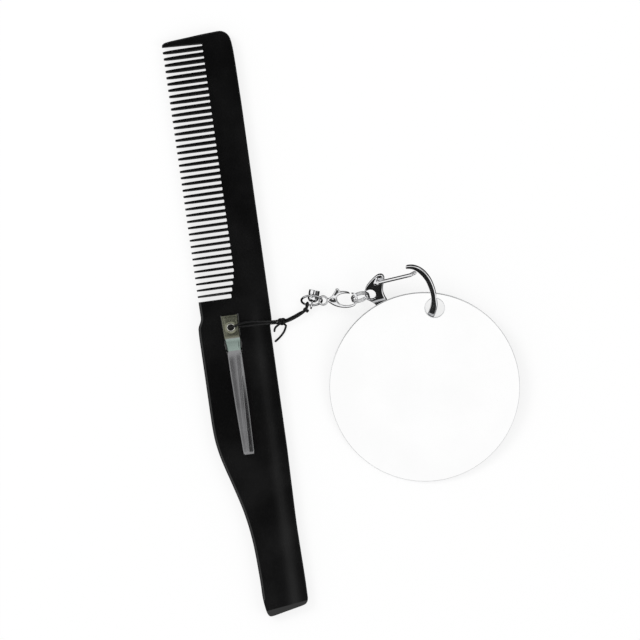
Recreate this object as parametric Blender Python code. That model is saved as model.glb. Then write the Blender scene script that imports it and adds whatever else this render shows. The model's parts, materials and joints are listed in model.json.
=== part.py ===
"""Pocket comb with a spring clip on its handle and a round mirror on a short chain.

The comb lies flat with its teeth towards -X and its head towards +Y. The clip lies on
the handle. A thin doubled cord runs from the clip's eyelet to a short row of small metal
links, and a ring-shaped spring clasp carries the round acrylic mirror.
All places are worked out in the comb's own frame first: X across from the spine,
Y along from the top of the head, Z up from the table. FRAME moves them so that the
origin is under the middle of the comb and the mirror.
"""

import math

import bmesh
import bpy
from mathutils import Matrix, Vector

MM = 0.001
CLEARANCE = 0.3 * MM
OVERRUN = 3.0 * MM
MERGE = 0.01 * MM

# Comb: overall sizes
COMB_LENGTH = 190.0 * MM
COMB_WIDTH = 23.5 * MM
COMB_THICKNESS = 4.0 * MM
COMB_EDGE = 1.1 * MM
TEETH_WIDTH = 0.9638 * COMB_WIDTH
TOOTH_COUNT = 40
TOOTH_PITCH = 0.010758 * COMB_LENGTH
FIRST_TOOTH = 0.02458 * COMB_LENGTH
FIRST_TOOTH_WIDTH = 0.6115 * TOOTH_PITCH
LAST_TOOTH_WIDTH = 0.4012 * TOOTH_PITCH
TOOTH_ROOT = 0.4085 * COMB_WIDTH
LAST_ROOT = 0.5038 * COMB_WIDTH
ROOT_SLOPE_START = 0.4105 * COMB_LENGTH
SHOULDER = 0.45158 * COMB_LENGTH
SHOULDER_SLOPE = 0.7 * MM
GUARD_ROOT = 0.01947 * COMB_LENGTH
GUARD_TIP = 0.01526 * COMB_LENGTH
TAPER_START = 0.383 * COMB_WIDTH
TAPER_BLEND = 1.6 * MM
TIP_THICKNESS = 1.9 * MM
TIP_EDGE = 0.4 * MM
TOOTH_FLANK = 0.13 * MM
# how wide a tooth is along its length, as shares of its width at half length
TOOTH_PROFILE_SHARES = ((0.0, 1.12), (0.6, 1.0), (0.9, 0.78), (1.0, 0.38))

# Comb outline, as (share of the length from the head, share of the width from the spine)
HEAD_SHARES = (
    (0.0185, 0.013), (0.0105, 0.030), (0.0045, 0.066), (0.0006, 0.120),
    (0.0, 0.170), (0.0016, 0.40), (0.0042, 0.65), (0.0062, 0.85),
    (0.0078, 0.925), (0.0105, 0.958), (0.0138, 0.963),
)
HANDLE_SHARES = (
    (0.4600, 0.9460), (0.4832, 0.9435), (0.4905, 0.972),
    (0.4968, 0.998), (0.5137, 1.0), (0.5805, 0.9915), (0.6300, 0.9885), (0.6637, 0.9830),
    (0.6916, 0.9640), (0.7180, 0.9290), (0.7416, 0.8860), (0.7650, 0.8370), (0.7880, 0.7850),
    (0.8100, 0.7370), (0.8316, 0.6990), (0.8526, 0.6680), (0.8750, 0.6450), (0.8989, 0.6340),
    (0.9411, 0.6290), (0.9600, 0.6230), (0.9760, 0.6150), (0.9890, 0.5950), (0.9965, 0.5790),
    (1.0, 0.5480), (0.9990, 0.4900), (0.9953, 0.3550), (0.9874, 0.0950), (0.9850, 0.0520),
    (0.9790, 0.0160),
)

# Clip: one fixed lower jaw on the comb and one sprung upper jaw
CLIP_X = 12.9 * MM
SHEET = 0.4 * MM
HINGE_Y = 101.0 * MM
HINGE_Z = 2.3 * MM
PIN_RADIUS = 0.5 * MM
PIN_HEAD_RADIUS = 0.85 * MM
PIN_HEAD = 0.35 * MM
PIN_BORE_RADIUS = PIN_RADIUS + CLEARANCE
# lengths along the upper jaw: from the hinge up to the tab, and down to the prong's tip
RAMP_LENGTH = 2.7 * MM
TAB_LENGTH = 6.35 * MM
EAR_ABOVE = 1.1 * MM
EAR_BELOW = 0.7 * MM
FOOT_LENGTH = 1.9 * MM
FOOT_BEND = 0.9 * MM
PRONG_LENGTH = 33.0 * MM
PRONG_LIP = 0.8 * MM
# lengths along the lower jaw, which follows the upper one
TRAY_MARGIN = 0.55 * MM
TRAY_BEND = 0.5 * MM
LOWER_EAR = 1.4 * MM
LOWER_TAPER = 3.2 * MM
# upper jaw stations, as distances from the head
TAB_RAMP = HINGE_Y - RAMP_LENGTH
TAB_END = TAB_RAMP - TAB_LENGTH
RAMP_EAR_START = HINGE_Y - EAR_ABOVE
RAMP_EAR_END = HINGE_Y + EAR_BELOW
RAMP_FOOT = HINGE_Y + FOOT_LENGTH
PRONG_START = RAMP_FOOT + FOOT_BEND
PRONG_QUARTER = PRONG_START + 0.218 * PRONG_LENGTH
PRONG_HALFWAY = PRONG_START + 0.5515 * PRONG_LENGTH
PRONG_TIP = PRONG_START + PRONG_LENGTH
PRONG_END = PRONG_TIP - PRONG_LIP
# lower jaw stations, as distances from the head
LOWER_END = TAB_END - TRAY_MARGIN
LOWER_TRAY = LOWER_END + TRAY_BEND
LOWER_TRAY_END = TAB_RAMP + 0.25 * SHEET
LOWER_EAR_START = HINGE_Y - LOWER_EAR
LOWER_EAR_END = HINGE_Y + LOWER_EAR
LOWER_PRONG = LOWER_EAR_END + LOWER_TAPER
LOWER_TIP = PRONG_TIP - SHEET
LOWER_MIDDLE = LOWER_PRONG + 0.4675 * (LOWER_TIP - LOWER_PRONG)
# lower jaw: half widths, and heights of its side flanges
TRAY_HALF = 2.72 * MM
EAR_HALF = 2.46 * MM
PRONG_HALF = 1.45 * MM
LOWER_TIP_HALF = 1.0 * MM
TRAY_FLANGE = 0.8 * MM
EAR_HEIGHT = 3.2 * MM
PRONG_FLANGE = 0.3 * MM
END_FLANGE = 0.55 * MM
# upper jaw: heights over the comb, half widths, depths of its sides
TAB_HEIGHT = 6.0 * MM
RAMP_TOP_HEIGHT = 5.85 * MM
EAR_TOP_HEIGHT = 5.15 * MM
EAR_LOW_HEIGHT = 4.25 * MM
RAMP_FOOT_HEIGHT = 3.62 * MM
PRONG_START_HEIGHT = 3.5 * MM
PRONG_QUARTER_HEIGHT = 3.2 * MM
PRONG_HALFWAY_HEIGHT = 2.65 * MM
PRONG_END_HEIGHT = 1.75 * MM
PRONG_TIP_HEIGHT = 1.55 * MM
TAB_HALF = 2.0 * MM
RAMP_HALF = 1.9 * MM
UPPER_EAR_HALF = 1.72 * MM
UPPER_PRONG_HALF = 2.12 * MM
UPPER_MIDDLE_HALF = 1.95 * MM
UPPER_TIP_HALF = 1.5 * MM
TAB_DEPTH = 0.5 * MM
UPPER_EAR_DEPTH = 2.9 * MM
UPPER_PRONG_DEPTH = 1.1 * MM
UPPER_TIP_DEPTH = 0.5 * MM
PRONG_CROWN = 0.45 * MM
TAB_CROWN = 0.04 * MM

# Eyelet in the tab
EYELET_Y = TAB_RAMP - 0.43 * TAB_LENGTH
EYELET_BORE = 1.05 * MM
EYELET_WALL = 0.2 * MM
EYELET_RIM = 1.95 * MM
EYELET_FOOT = 1.5 * MM
EYELET_RIM_HEIGHT = 0.3 * MM

# Torsion spring of the clip
CLIP_SPRING_WIRE = 0.42 * MM
CLIP_SPRING_RADIUS = 1.08 * MM
CLIP_SPRING_PITCH = 0.68 * MM
CLIP_SPRING_TURNS = 3
CLIP_SPRING_LEG = 2.4 * MM
CLIP_SPRING_HOOK = 0.9 * MM

# Rivets that hold the lower jaw on the comb
RIVET_Y = (PRONG_START + 0.1727 * PRONG_LENGTH, PRONG_START + 0.6727 * PRONG_LENGTH)
RIVET_HEAD_RADIUS = 1.25 * MM
RIVET_HEAD = 0.5 * MM
RIVET_RADIUS = 0.6 * MM
RIVET_DEPTH = 2.2 * MM

# Cord: a black cord of one length, knotted to a loop
CORD = 0.7 * MM

# Link ring next to the cord, and the crimp barrel that hangs on it
IMAGE_TILT = math.radians(-7.9)
RING_WIRE = 0.8 * MM
RING_RADIUS = 3.3 * MM
RING_LEAN = math.radians(62.0)
RING_X = 14.1 * MM
RING_Y = 90.5 * MM
RING_Z = 4.35 * MM
RING_GAP = math.radians(5.0)
RING_BIGHT = math.radians(230.0)
BARREL_RADIUS = 1.6 * MM
BARREL_WALL = 0.4 * MM
BARREL_START = 1.05 * MM
BARREL_LENGTH = 3.9 * MM
BARREL_SEAM = 0.5 * MM
BARREL_TURN = math.radians(79.5)
BARREL_Z = 1.85 * MM
LUG_BORE = 0.78 * MM
LUG_RADIUS = 1.28 * MM
LUG_THICKNESS = 0.6 * MM

# Lobster claw clasp, in its own frame: x from the eye to the hook, y to the lever's side
CLAW_X = 17.8 * MM
CLAW_Y = 91.02 * MM
CLAW_Z = 4.4 * MM
CLAW_TURN = math.radians(-4.5)
CLAW_LENGTH = 11.15 * MM
CLAW_WIDTH = 5.7 * MM
CLAW_THICKNESS = 1.8 * MM
CLAW_EDGE = 0.25 * MM
CLAW_EYE_BORE = 1.2 * MM
CLAW_EYE_RADIUS = 1.85 * MM
CLAW_EYE_THICKNESS = 0.8 * MM
# outline of the claw's body, as shares of its length from the eye and of its width
CLAW_SHARES = (
    (0.120, -0.060), (0.190, -0.175), (0.300, -0.330), (0.450, -0.440), (0.620, -0.500),
    (0.780, -0.488), (0.910, -0.405), (0.983, -0.240), (1.005, -0.030), (0.980, 0.185),
    (0.915, 0.325), (0.830, 0.375), (0.811, 0.285), (0.882, 0.268), (0.922, 0.185),
    (0.935, 0.030), (0.926, -0.160), (0.882, -0.290), (0.760, -0.350), (0.630, -0.345),
    (0.525, -0.300), (0.455, -0.205), (0.420, -0.080), (0.410, 0.060), (0.400, 0.220),
    (0.340, 0.330), (0.250, 0.300), (0.180, 0.170), (0.120, 0.060),
)
LEVER_PIVOT_X = 3.1 * MM
LEVER_PIVOT_Y = 0.35 * MM
LEVER_THICKNESS = 0.7 * MM
LEVER_SLOT = LEVER_THICKNESS + 2.0 * CLEARANCE
LEVER_PIN_RADIUS = 0.35 * MM
# outline of the lever about its pivot, as shares of the claw's length and width
LEVER_SHARES = (
    (-0.075, -0.030), (-0.045, -0.105), (0.030, -0.115), (0.085, -0.060), (0.110, 0.060),
    (0.170, 0.180), (0.270, 0.255), (0.380, 0.265), (0.455, 0.248), (0.500, 0.226),
    (0.506, 0.265), (0.493, 0.314), (0.440, 0.368), (0.350, 0.410), (0.250, 0.415),
    (0.205, 0.440), (0.195, 0.540), (0.150, 0.590), (0.095, 0.560), (0.085, 0.450),
    (0.030, 0.300), (-0.040, 0.120),
)

# Split ring between the claw and the ring clasp
SPLIT_WIRE = 0.5 * MM
SPLIT_RADIUS = 2.8 * MM
SPLIT_PITCH = 0.7 * MM
SPLIT_TURNS = 2
SPLIT_LEAN = math.radians(62.5)
SPLIT_X = 29.85 * MM
SPLIT_Y = 91.62 * MM
SPLIT_Z = 4.55 * MM
SPLIT_TURN = math.radians(9.5)

# Mirror: a round acrylic plate with one hole, leaning on the clasp
MIRROR_RADIUS = 30.75 * MM
MIRROR_THICKNESS = 1.0 * MM
MIRROR_EDGE = 0.12 * MM
HOLE_X = 53.15 * MM
HOLE_Y = 98.3 * MM
HOLE_HEIGHT = 6.076 * MM
HOLE_RADIUS = 3.35 * MM
HOLE_TO_RIM = 4.855 * MM
# the mirror's middle, below its hole
MIRROR_X = HOLE_X - 0.260668 * (MIRROR_RADIUS - HOLE_TO_RIM)
MIRROR_Y = HOLE_Y + 0.965428 * (MIRROR_RADIUS - HOLE_TO_RIM)

# Ring clasp: a spring gate ring that passes through the mirror's hole. Its plane and the
# mirror's plane meet in the level line CROSSING through the hole.
CROSSING_TURN = math.radians(153.6)
CLASP_TILT = math.radians(30.0)
CLASP_X = 53.0 * MM
CLASP_Y = 98.2 * MM
CLASP_REACH = 23.0 * MM
CLASP_THICKNESS = 1.1 * MM
CLASP_EDGE = 0.3 * MM
# edges of the clasp in its plane, as shares of its reach: (away from the hole, uphill)
CLASP_OUTER_SHARES = (
    (0.540, 0.500), (0.505, 0.527), (0.450, 0.540), (0.385, 0.538), (0.305, 0.515),
    (0.230, 0.470), (0.160, 0.405), (0.095, 0.320), (0.040, 0.225), (0.000, 0.130),
    (-0.035, 0.050), (-0.045, -0.040), (-0.040, -0.140), (-0.005, -0.250), (0.055, -0.345),
    (0.140, -0.420), (0.245, -0.465), (0.360, -0.483), (0.475, -0.470), (0.580, -0.435),
    (0.670, -0.375), (0.745, -0.290), (0.800, -0.240), (0.850, -0.226), (0.915, -0.218),
    (0.965, -0.188), (1.000, -0.120), (1.003, -0.020), (0.972, 0.075), (0.930, 0.170),
    (0.898, 0.220), (0.855, 0.245), (0.810, 0.225),
)
CLASP_INNER_SHARES = (
    (0.788, 0.170), (0.778, 0.070), (0.765, -0.020), (0.735, -0.090), (0.700, -0.160),
    (0.650, -0.235), (0.585, -0.310), (0.500, -0.365), (0.400, -0.392), (0.300, -0.385),
    (0.205, -0.350), (0.125, -0.285), (0.080, -0.205), (0.055, -0.120), (0.055, -0.035),
    (0.060, 0.050), (0.080, 0.130), (0.120, 0.215), (0.175, 0.300), (0.235, 0.375),
    (0.310, 0.430), (0.385, 0.468), (0.450, 0.480), (0.505, 0.477), (0.540, 0.462),
)
CLASP_EYE_X = 20.8 * MM
CLASP_EYE_Y = -2.7 * MM
CLASP_EYE_BORE = 1.7 * MM
GATE_X = 20.2 * MM
GATE_Y = 2.6 * MM
GATE_LENGTH = 13.1 * MM
GATE_TURN = math.radians(144.4)
GATE_RADIUS = 0.52 * MM
GATE_EYE_RADIUS = 1.05 * MM
GATE_BORE_RADIUS = 0.62 * MM
GATE_STEP = 1.6 * MM
GATE_TIP_RADIUS = 0.48 * MM
GATE_PIN_RADIUS = 0.32 * MM
GATE_PIN_HEAD_RADIUS = 0.95 * MM
GATE_PIN_HEAD = 0.35 * MM

# Cord route, points in millimetres in the comb's frame
RUN_OVER = (
    (1.75, -95.35, 2.7), (0.6, -95.2, 4.15), (-1.2, -95.05, 4.85), (-3.6, -94.85, 4.85),
    (-6.2, -94.65, 5.9), (-8.2, -94.6, 8.1), (-9.7, -94.8, 10.3), (-11.2, -95.25, 11.55),
    (-12.45, -95.45, 11.3), (-12.95, -95.45, 10.3), (-12.95, -95.45, 8.8),
    (-12.7, -95.5, 7.2), (-11.8, -95.6, 6.2), (-10.1, -95.7, 6.05), (-8.2, -95.75, 5.95),
    (-6.0, -95.8, 5.2), (-3.6, -95.9, 4.85), (-1.2, -96.1, 4.85), (0.6, -96.25, 4.15),
    (1.75, -96.35, 2.7),
)
RUN_RING = (
    (5.7, -96.05, 1.75), (6.9, -95.4, 1.8), (8.4, -94.65, 1.95), (9.7, -93.9, 2.2),
    (10.8, -93.2, 2.55), (11.6, -92.6, 2.95), (12.18, -92.04, 3.05), (12.61, -91.25, 3.0),
    (12.58, -90.54, 2.45), (12.12, -90.32, 1.7), (11.5, -90.7, 1.18), (10.95, -91.35, 0.8),
    (10.2, -92.3, 0.5), (9.0, -93.3, 0.45), (7.6, -94.3, 0.5), (6.5, -95.0, 0.55),
    (5.55, -95.45, 0.75),
)
KNOT_CENTRE = (3.6, -95.85, 1.85)
KNOT_LENGTH = 3.0 * MM
KNOT_WIDTH = 2.6 * MM
KNOT_HEIGHT = 2.7 * MM
TAIL_LONG = (
    (4.75, -97.35, 0.6), (4.5, -98.1, 0.45), (3.9, -99.2, 0.4), (3.0, -100.2, 0.4),
    (1.9, -101.15, 0.4), (0.65, -102.0, 0.4),
)
TAIL_SHORT = ((1.9, -97.1, 2.3), (1.35, -97.5, 2.2), (0.95, -98.1, 2.0), (0.8, -98.7, 1.75))

FRAME_X = 0.5 * (MIRROR_X + MIRROR_RADIUS - COMB_WIDTH)
FRAME_Y = 0.5 * COMB_LENGTH


def clear_scene():
    """Remove the objects of the scene that Blender opens with."""
    for item in list(bpy.data.objects):
        bpy.data.objects.remove(item, do_unlink=True)


def finish(name, colour, metallic, roughness):
    """Return a material of one colour."""
    made = bpy.data.materials.new(name)
    made.use_nodes = True
    shader = made.node_tree.nodes["Principled BSDF"]
    shader.inputs["Base Color"].default_value = (*colour, 1.0)
    shader.inputs["Metallic"].default_value = metallic
    shader.inputs["Roughness"].default_value = roughness
    made.diffuse_color = (*colour, 1.0)
    return made


def spot(x, y, z):
    """Turn a place in the comb's frame, with x and y measured from spine and head, to the part's."""
    return Vector((x - FRAME_X, FRAME_Y - y, z))


def route_points(route):
    """Turn a hand-set route in millimetres of the comb's frame to points of the part."""
    return [Vector((x * MM - FRAME_X, y * MM + FRAME_Y, z * MM)) for x, y, z in route]


def smooth_line(points, spacing):
    """Read points at an even spacing from a smooth curve through the given ones."""
    ends = [points[0] * 2 - points[1], *points, points[-1] * 2 - points[-2]]
    fine = []
    for before, start, end, after in zip(ends, ends[1:], ends[2:], ends[3:]):
        for step in range(16):
            t = step / 16
            fine.append(
                0.5 * (2 * start + (end - before) * t
                       + (2 * before - 5 * start + 4 * end - after) * t * t
                       + (3 * start - before - 3 * end + after) * t * t * t)
            )
    fine.append(points[-1])
    total = sum((b - a).length for a, b in zip(fine, fine[1:]))
    count = max(3, round(total / spacing))
    line, walked, goal = [fine[0]], 0.0, total / count
    for a, b in zip(fine, fine[1:]):
        stretch = (b - a).length
        while walked + stretch >= goal and len(line) < count:
            line.append(a.lerp(b, (goal - walked) / stretch))
            goal += total / count
        walked += stretch
    line.append(fine[-1])
    return line


def add_object(name, data, material, frame=None, pivot=None):
    """Add an object on its frame, below the empty of its joint if it has one."""
    made = bpy.data.objects.new(name, data)
    bpy.context.collection.objects.link(made)
    data.materials.append(material)
    frame = frame or Matrix.Identity(4)
    if pivot:
        made.parent = pivot
        frame = Matrix.Translation(-pivot.location) @ frame
    made.matrix_local = frame
    return made


def add_mesh(name, bm, material, frame=None, pivot=None, smooth=True):
    """Close a bmesh into a named object, rounded faces smooth."""
    bmesh.ops.recalc_face_normals(bm, faces=bm.faces)
    data = bpy.data.meshes.new(name)
    bm.to_mesh(data)
    bm.free()
    if smooth:
        data.shade_smooth()
        data.set_sharp_from_angle(angle=math.radians(35.0))
    return add_object(name, data, material, frame, pivot)


def add_pivot(name, place):
    """Add the empty that stands on a joint's axis."""
    made = bpy.data.objects.new(name, None)
    bpy.context.collection.objects.link(made)
    made.location = place
    return made


def add_tube(name, points, radius, material, frame=None, pivot=None, sides=2, cyclic=False):
    """Add a round wire along points, its ends capped."""
    curve = bpy.data.curves.new(name, "CURVE")
    curve.dimensions = "3D"
    spline = curve.splines.new("POLY")
    spline.points.add(len(points) - 1)
    for knot, place in zip(spline.points, points):
        knot.co = (*place, 1.0)
    spline.use_cyclic_u = cyclic
    curve.bevel_depth = radius
    curve.bevel_resolution = sides
    curve.use_fill_caps = not cyclic
    return add_object(name, curve, material, frame, pivot)


def wire_solid(points, radius, sides=10):
    """Return a bmesh of a round bar along points, its ends flat."""
    bm = bmesh.new()
    rings = []
    for index, place in enumerate(points):
        ahead = points[min(index + 1, len(points) - 1)] - points[max(index - 1, 0)]
        turn = ahead.to_track_quat("Z", "Y")
        rings.append([
            bm.verts.new(place + turn @ Vector((
                radius * math.cos(2 * math.pi * i / sides), radius * math.sin(2 * math.pi * i / sides), 0.0)))
            for i in range(sides)
        ])
    for low, high in zip(rings, rings[1:]):
        for i in range(sides):
            j = (i + 1) % sides
            bm.faces.new((low[i], low[j], high[j], high[i]))
    bm.faces.new(rings[0])
    bm.faces.new(rings[-1])
    return bm


def outline_solid(points, thickness):
    """Return a bmesh of a flat outline, thickened evenly to both sides of its plane."""
    bm = bmesh.new()
    face = bm.faces.new([bm.verts.new((x, y, -0.5 * thickness)) for x, y in points])
    grown = bmesh.ops.extrude_face_region(bm, geom=[face])
    top = [item for item in grown["geom"] if isinstance(item, bmesh.types.BMVert)]
    bmesh.ops.translate(bm, verts=top, vec=(0.0, 0.0, thickness))
    return bm


def turned_solid(profile, steps=20):
    """Return a bmesh of a profile of (radius, height) points turned once about Z."""
    bm = bmesh.new()
    rings = []
    for radius, height in profile:
        ring = [
            bm.verts.new((radius * math.cos(2 * math.pi * i / steps),
                          radius * math.sin(2 * math.pi * i / steps), height))
            for i in range(steps)
        ]
        rings.append(ring)
    for low, high in zip(rings, rings[1:]):
        for i in range(steps):
            j = (i + 1) % steps
            bm.faces.new((low[i], low[j], high[j], high[i]))
    return bm, rings


def rod(profile, steps=20):
    """Return a bmesh of a closed turned solid whose profile ends on flat faces."""
    bm, rings = turned_solid(profile, steps)
    bm.faces.new(rings[0])
    bm.faces.new(rings[-1])
    return bm


def hollow_rod(profile, steps=20):
    """Return a bmesh of a turned ring: the profile closes on itself."""
    bm, rings = turned_solid(profile, steps)
    first, last = rings[0], rings[-1]
    for i in range(steps):
        j = (i + 1) % steps
        bm.faces.new((last[i], last[j], first[j], first[i]))
    return bm


def sheet_metal(stations):
    """Return the middle surface of a pressed strip: rows of points, one row a station."""
    bm = bmesh.new()
    rows = [[bm.verts.new(place) for place in row] for row in stations]
    for low, high in zip(rows, rows[1:]):
        for a, b, c, d in zip(low, low[1:], high[1:], high):
            bm.faces.new((a, b, c, d))
    return bm


def thicken(item, thickness):
    """Give a middle surface its sheet thickness, half to each side."""
    solid = item.modifiers.new("Sheet", "SOLIDIFY")
    solid.thickness = thickness
    solid.offset = 0.0
    solid.use_even_offset = True


def round_edges(item, width, segments=2, angle=30.0):
    """Round the sharp edges of a piece."""
    bevel = item.modifiers.new("Edges", "BEVEL")
    bevel.width = width
    bevel.segments = segments
    bevel.limit_method = "ANGLE"
    bevel.angle_limit = math.radians(angle)


def combine(item, other, operation):
    """Cut or join another solid, which is then only a guide."""
    step = item.modifiers.new(operation.title(), "BOOLEAN")
    step.operation = operation
    step.object = other
    step.solver = "EXACT"
    other.hide_render = True
    other.display_type = "WIRE"


def rod_frame(place, axis):
    """Return the frame that stands a turned solid at a place, its height along an axis."""
    return Matrix.Translation(place) @ axis.to_track_quat("Z", "X").to_matrix().to_4x4()


def plane_frame(place, along, lean):
    """Return a frame whose X runs along a level direction and whose Y rises by an angle."""
    x = Vector((math.cos(along), math.sin(along), 0.0))
    side = Vector((-math.sin(along), math.cos(along), 0.0))
    y = side * math.cos(lean) + Vector((0.0, 0.0, math.sin(lean)))
    z = x.cross(y)
    turn = Matrix((x, y, z)).transposed().to_4x4()
    return Matrix.Translation(place) @ turn


clear_scene()

BLACK = finish("comb_plastic", (0.008, 0.008, 0.009), 0.0, 0.22)
STEEL = finish("clip_steel", (0.55, 0.55, 0.53), 1.0, 0.32)
SPRING_STEEL = finish("spring_steel", (0.42, 0.42, 0.41), 1.0, 0.35)
BRASS = finish("eyelet_metal", (0.66, 0.63, 0.55), 1.0, 0.25)
CHROME = finish("chrome", (0.80, 0.80, 0.81), 1.0, 0.10)
FABRIC = finish("cord_fabric", (0.012, 0.012, 0.013), 0.0, 0.75)
MIRROR = finish("mirror_acrylic", (0.90, 0.91, 0.92), 1.0, 0.03)


# Comb

def tooth_middle(index):
    """Return how far a tooth's middle lies from the top of the head."""
    return FIRST_TOOTH + index * TOOTH_PITCH


def tooth_width(index):
    """Return a tooth's width at half length: they get thinner towards the handle."""
    share = min(max(index / (TOOTH_COUNT - 1), 0.0), 1.0)
    return FIRST_TOOTH_WIDTH + (LAST_TOOTH_WIDTH - FIRST_TOOTH_WIDTH) * share


def root_line(along):
    """Return how deep the gaps reach towards the spine at a distance from the head."""
    if along <= ROOT_SLOPE_START:
        return TOOTH_ROOT
    share = (along - ROOT_SLOPE_START) / (SHOULDER - ROOT_SLOPE_START)
    return TOOTH_ROOT + (LAST_ROOT - TOOTH_ROOT) * min(share, 1.0)


def comb_blank():
    """Return the comb before its gaps are sawn: outline, thickness and taper to the tips."""
    outline = [(-w * COMB_WIDTH, -l * COMB_LENGTH) for l, w in HEAD_SHARES]
    outline += [(-w * COMB_WIDTH, -l * COMB_LENGTH) for l, w in HANDLE_SHARES]
    bm = outline_solid(outline, COMB_THICKNESS)
    cuts = (
        ((-TAPER_START, 0.0, 0.0), (1.0, 0.0, 0.0)),
        ((0.0, -SHOULDER - CLEARANCE, 0.0), (0.0, 1.0, 0.0)),
        ((0.0, -SHOULDER - CLEARANCE + TAPER_BLEND, 0.0), (0.0, 1.0, 0.0)),
    )
    for place, normal in cuts:
        geometry = bm.verts[:] + bm.edges[:] + bm.faces[:]
        bmesh.ops.bisect_plane(bm, geom=geometry, dist=MERGE, plane_co=place, plane_no=normal)
    thinning = 1.0 - TIP_THICKNESS / COMB_THICKNESS
    for vert in bm.verts:
        if -vert.co.x > TAPER_START and -vert.co.y < SHOULDER - 0.5 * TAPER_BLEND:
            share = (-vert.co.x - TAPER_START) / (TEETH_WIDTH - TAPER_START)
            vert.co.z *= 1.0 - thinning * share
    blend = [
        face for face in bm.faces
        if SHOULDER - TAPER_BLEND < -face.calc_center_median().y < SHOULDER + CLEARANCE
    ]
    bmesh.ops.triangulate(bm, faces=blend)
    weight = bm.edges.layers.float.new("bevel_weight_edge")
    for edge in bm.edges:
        flat = sum(abs(face.normal.z) > 0.5 for face in edge.link_faces)
        if flat == 1:
            middle = 0.5 * (edge.verts[0].co + edge.verts[1].co)
            in_teeth = -middle.x > TAPER_START and -middle.y < SHOULDER
            edge[weight] = TIP_EDGE / COMB_EDGE if in_teeth else 1.0
    return bm


def gap_cutter(index):
    """Add to a bmesh the saw that cuts the gap above one tooth, wider at both faces."""
    rows = []
    root = root_line(tooth_middle(index) - 0.5 * TOOTH_PITCH)
    stations = [*TOOTH_PROFILE_SHARES, (1.0 + OVERRUN / TEETH_WIDTH, TOOTH_PROFILE_SHARES[-1][1])]
    for share, widening in stations:
        reach = root + share * (TEETH_WIDTH - root)
        high = -tooth_middle(index - 1) - 0.5 * tooth_width(index - 1) * widening
        low = -tooth_middle(index) + 0.5 * tooth_width(index) * widening
        if index == 0:
            high = -GUARD_ROOT + (GUARD_ROOT - GUARD_TIP) * share
        if index == TOOTH_COUNT:
            low = -SHOULDER - share * SHOULDER_SLOPE
        rows.append((-reach, high, low))
    return rows


def comb_gaps():
    """Return the saws of all the gaps between the teeth as one cutter."""
    bm = bmesh.new()
    half = 0.5 * COMB_THICKNESS
    flare = TOOTH_FLANK
    for index in range(TOOTH_COUNT + 1):
        rings = []
        for x, high, low in gap_cutter(index):
            ring = [
                (x, high + flare, half + CLEARANCE), (x, high, 0.0), (x, high + flare, -half - CLEARANCE),
                (x, low - flare, -half - CLEARANCE), (x, low, 0.0), (x, low - flare, half + CLEARANCE),
            ]
            rings.append([bm.verts.new(place) for place in ring])
        for one, two in zip(rings, rings[1:]):
            for i in range(6):
                j = (i + 1) % 6
                bm.faces.new((one[i], one[j], two[j], two[i]))
        bm.faces.new(rings[0])
        bm.faces.new(rings[-1])
    return bm


COMB_FRAME = Matrix.Translation(spot(0.0, 0.0, 0.5 * COMB_THICKNESS))
comb = add_mesh("comb", comb_blank(), BLACK, COMB_FRAME)
edge_round = comb.modifiers.new("Edges", "BEVEL")
edge_round.width = COMB_EDGE
edge_round.segments = 2
edge_round.limit_method = "WEIGHT"
edge_round.use_clamp_overlap = True
combine(comb, add_mesh("comb_gap_saw", comb_gaps(), BLACK, COMB_FRAME), "DIFFERENCE")
RIVET_BORE = RIVET_RADIUS + CLEARANCE
for number, along in enumerate(RIVET_Y):
    bore = rod([(RIVET_BORE, -RIVET_DEPTH - CLEARANCE), (RIVET_BORE, OVERRUN)], 12)
    place = spot(-CLIP_X, along, COMB_THICKNESS)
    combine(comb, add_mesh(f"rivet_bore_{number}", bore, BLACK, Matrix.Translation(place)), "DIFFERENCE")


# Clip

CLIP_BASE = COMB_THICKNESS + CLEARANCE + 0.5 * SHEET
HINGE_PLACE = spot(-CLIP_X, HINGE_Y, COMB_THICKNESS + HINGE_Z)
CLIP_ORIGIN = spot(-CLIP_X, 0.0, 0.0)


def lower_row(along, half, flange, lift=0.0):
    """Return one station across the lower jaw: two side flanges and the flat between them."""
    y = CLIP_ORIGIN.y - along
    x = CLIP_ORIGIN.x
    rise = CLIP_BASE + lift
    return [
        (x - half, y, CLIP_BASE + flange), (x - half, y, rise), (x, y, rise),
        (x + half, y, rise), (x + half, y, CLIP_BASE + flange),
    ]


def upper_row(along, height, half, depth, crown):
    """Return one station across the upper jaw: crowned top and two sides bent down."""
    y = CLIP_ORIGIN.y - along
    x = CLIP_ORIGIN.x
    top = COMB_THICKNESS + height
    return [
        (x - half, y, top - depth), (x - half, y, top - crown), (x - 0.55 * half, y, top),
        (x + 0.55 * half, y, top), (x + half, y, top - crown), (x + half, y, top - depth),
    ]


def pin_bore(name):
    """Add the cutter of the hinge pin's bore."""
    width = 2.0 * TRAY_HALF + 2.0 * OVERRUN
    bm = rod([(PIN_BORE_RADIUS, -0.5 * width), (PIN_BORE_RADIUS, 0.5 * width)], 12)
    return add_mesh(name, bm, STEEL, rod_frame(HINGE_PLACE, Vector((1.0, 0.0, 0.0))))


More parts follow.
